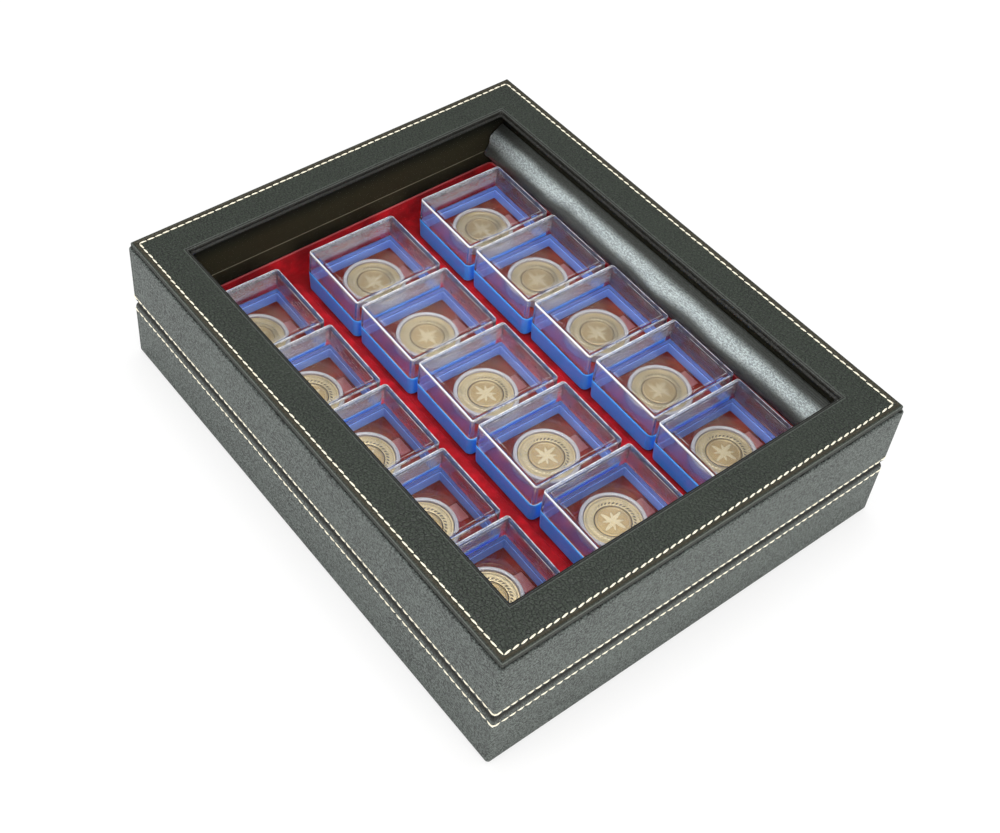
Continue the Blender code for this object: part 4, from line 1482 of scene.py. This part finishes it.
@dataclass
class CoinBoxes:
    """The fifteen coin boxes in three columns."""

    columns: tuple[str, ...] = ("front", "middle", "back")
    rows: int = 5
    mean_turn: float = -1.5
    turn_play: float = 1.0
    turn_shares: tuple[tuple[float, ...], ...] = (
        (0.1, -0.2, 0.2, 0.3, 0.0), (0.2, 0.0, -0.3, -0.1, 0.2), (-0.2, 0.1, -0.2, 0.2, 0.3),
    )

    def build(self) -> None:
        """Make the shared meshes and place every box."""
        box = CoinBox()
        meshes = {
            "base": box.base_mesh(), "pad": box.pad_mesh(), "notch": box.notch_mesh(), "cover": box.cover_mesh(),
            "ring": box.ring_mesh(), "lens": box.lens_mesh(), "coin": box.coin_mesh(),
        }
        spin = random.Random(11)
        for column, shares in zip(self.columns, self.turn_shares):
            for row, share in enumerate(shares):
                turn = math.radians(self.mean_turn + share * self.turn_play)
                box.build(f"{column}_{row + 1}", meshes, turn, turn + math.radians(spin.uniform(-12.0, 12.0)))


@dataclass
class Gusset:
    """Satin gusset along the hinge side."""

    half_length: float = 131.8
    face_y: float = 106.4
    top: float = 54.0
    low: float = 30.6
    foot: float = 27.0
    bulge: float = 7.2
    tuck: float = 4.6
    thickness: float = 0.35
    stations: int = 160
    steps: int = 26

    def front(self, x: float, share: float) -> tuple[float, float]:
        """Depth and height of the cloth's face.

        Args:
            x: place along the case.
            share: 0 at the top and 1 at the tuck.

        Returns:
            Distance in front of the lining, and height.
        """
        fold = noise.noise(Vector((x / 26.0, share * 1.3, 3.0))) * 0.9
        fold += noise.noise(Vector((x / 9.0, share * 2.2 + 5.0, 7.0))) * 0.4
        pull = math.sin(math.pi * share)
        left_folds = max(0.0, (-x - 70.0) / 60.0)
        fold += left_folds * 1.2 * math.sin(share * 15.0 + x / 9.0) * pull
        depth = 0.3 + self.tuck * share + (self.bulge + fold) * pull
        drop = share - math.sin(2 * math.pi * share) / (6 * math.pi)
        return depth, self.top + (self.low - self.top) * drop

    def build(self) -> None:
        """Make the gusset in the closed case's shape."""
        shape = bmesh.new()
        front, back = [], []
        for index in range(self.stations + 1):
            x = self.half_length * (2 * index / self.stations - 1)
            line = [self.front(x, step / self.steps) for step in range(self.steps + 1)]
            line.append((0.3 + self.tuck, self.foot))
            front.append([shape.verts.new(Vector((x, self.face_y - depth, z)) * MM) for depth, z in line])
            back.append([
                shape.verts.new(Vector((x, self.face_y - depth + self.thickness, z)) * MM) for depth, z in line
            ])
        rows = len(front[0])
        for first, second in zip(range(self.stations), range(1, self.stations + 1)):
            for row in range(rows - 1):
                shape.faces.new((front[first][row], front[second][row], front[second][row + 1], front[first][row + 1]))
                shape.faces.new((back[first][row], back[first][row + 1], back[second][row + 1], back[second][row]))
            shape.faces.new((front[first][0], back[first][0], back[second][0], front[second][0]))
            shape.faces.new((front[first][-1], front[second][-1], back[second][-1], back[first][-1]))
        for index in (0, self.stations):
            for row in range(rows - 1):
                shape.faces.new((front[index][row], front[index][row + 1], back[index][row + 1], back[index][row]))
        mesh = to_mesh("satin_gusset_cloth", shape, 60.0)
        line = [Vector(self.front(0.0, step / self.steps)) for step in range(self.steps + 1)]
        line.append(Vector((0.3 + self.tuck, self.foot)))
        reach = sum((b - a).length for a, b in zip(line, line[1:]))
        piece = bpy.data.objects.new("satin_gusset_cloth", mesh)
        mesh.materials.append(Finish.SATIN.material())
        bpy.context.scene.collection.objects.link(piece)
        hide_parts("satin_gusset")
        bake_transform(piece)
        LOG.info("made satin_gusset_cloth, %.1f mm from edge to edge", reach)


@dataclass
class Studio:
    """Pale floor, soft light and the photograph's camera."""

    eye: tuple[float, float, float] = (367.07, -352.48, 597.34)
    target: tuple[float, float, float] = (-35.69, -8.74, 37.6)
    roll: float = 4.525
    lens: float = 57.17
    shift: tuple[float, float] = (0.0613, -0.0784)
    floor_size: float = 6.0

    def camera(self) -> None:
        """Put the camera where the photograph was taken from."""
        eye, target = Vector(self.eye) * MM, Vector(self.target) * MM
        forward = (target - eye).normalized()
        right = forward.cross(Vector((0, 0, 1))).normalized()
        up = right.cross(forward)
        turn = math.radians(self.roll)
        rolled_right = right * math.cos(turn) + up * math.sin(turn)
        rolled_up = up * math.cos(turn) - right * math.sin(turn)
        data = bpy.data.cameras.new("photo_camera")
        data.lens = self.lens
        data.shift_x, data.shift_y = self.shift
        data.clip_start, data.clip_end = 0.01, 50.0
        item = bpy.data.objects.new("photo_camera", data)
        axes = Matrix((rolled_right, rolled_up, -forward)).transposed()
        item.matrix_world = Matrix.Translation(eye) @ axes.to_4x4()
        bpy.context.scene.collection.objects.link(item)
        bpy.context.scene.camera = item

    def floor(self) -> None:
        """Lay a pale floor that keeps the shadow."""
        tree = ShaderTree("pale_floor")
        tree.fill(tree.principled, {"Base Color": (0.86, 0.86, 0.86), "Roughness": 0.9, "Specular IOR Level": 0.1})
        path = tree.nodes.new("ShaderNodeLightPath")
        seen = Signal(tree, path.outputs["Is Camera Ray"]) * 0.72
        glow = tree.add("ShaderNodeEmission", None, {"Color": (1.0, 1.0, 1.0), "Strength": 1.0})
        mixed = tree.add("ShaderNodeMixShader", None, {0: seen, 1: tree.principled.outputs[0], 2: glow})
        tree.links.new(mixed.socket, tree.output.inputs["Surface"])
        half = self.floor_size / 2
        mesh = bpy.data.meshes.new("pale_floor")
        mesh.from_pydata([(-half, -half, 0), (half, -half, 0), (half, half, 0), (-half, half, 0)], [], [(0, 1, 2, 3)])
        mesh.materials.append(tree.material)
        item = bpy.data.objects.new("pale_floor", mesh)
        bpy.context.scene.collection.objects.link(item)

    def world(self) -> None:
        """White surroundings, dimmer as a light."""
        world = bpy.data.worlds.new("studio")
        world.use_nodes = True
        nodes, links = world.node_tree.nodes, world.node_tree.links
        path = nodes.new("ShaderNodeLightPath")
        strength = nodes.new("ShaderNodeMapRange")
        strength.inputs[3].default_value = 0.62
        strength.inputs[4].default_value = 1.0
        seen = nodes.new("ShaderNodeMath")
        seen.operation = "MAXIMUM"
        links.new(path.outputs["Is Camera Ray"], seen.inputs[0])
        links.new(path.outputs["Is Transmission Ray"], seen.inputs[1])
        links.new(seen.outputs[0], strength.inputs[0])
        background = nodes["Background"]
        background.inputs["Color"].default_value = (1.0, 1.0, 1.0, 1.0)
        links.new(strength.outputs[0], background.inputs["Strength"])
        bpy.context.scene.world = world

    def lamp(self, name: str, place: Sequence[float], aim: Sequence[float], size: float, watts: float, colour: Colour) -> None:
        """Add a soft area lamp.

        Args:
            name: name of the lamp.
            place: where it stands, in metres.
            aim: what it points at, in metres.
            size: its side, in metres.
            watts: its power.
            colour: its colour.
        """
        data = bpy.data.lights.new(name, "AREA")
        data.shape = "SQUARE"
        data.size = size
        data.energy = watts
        data.color = colour
        item = bpy.data.objects.new(name, data)
        item.location = place
        item.rotation_euler = (Vector(aim) - Vector(place)).to_track_quat("-Z", "Y").to_euler()
        bpy.context.scene.collection.objects.link(item)

    def build(self) -> None:
        """Set up the studio."""
        self.camera()
        self.floor()
        self.world()
        self.lamp("front_softbox", (-0.2, -1.5, 0.55), (0, 0, 0.03), 0.9, 14.0, (1.0, 0.99, 0.97))
        self.lamp("right_softbox", (1.5, -0.1, 0.5), (0, 0, 0.03), 0.9, 18.0, (1.0, 0.98, 0.94))
        self.lamp("overhead_softbox", (-0.1, 0.1, 1.5), (0, 0, 0), 0.8, 14.0, (0.98, 0.99, 1.0))
        bpy.context.scene.view_settings.view_transform = "Standard"
        bpy.context.scene.cycles.transparent_max_bounces = 32
        bpy.context.scene.cycles.sample_clamp_indirect = 2.0


def main() -> None:
    """Build the case, its contents and the studio."""
    logging.basicConfig(level=logging.WARNING, format="%(name)s: %(message)s")
    CaseShell().build()
    Interior().build()
    Tray().build()
    CoinBoxes().build()
    Gusset().build()
    Studio().build()


if __name__ == "__main__":
    main()
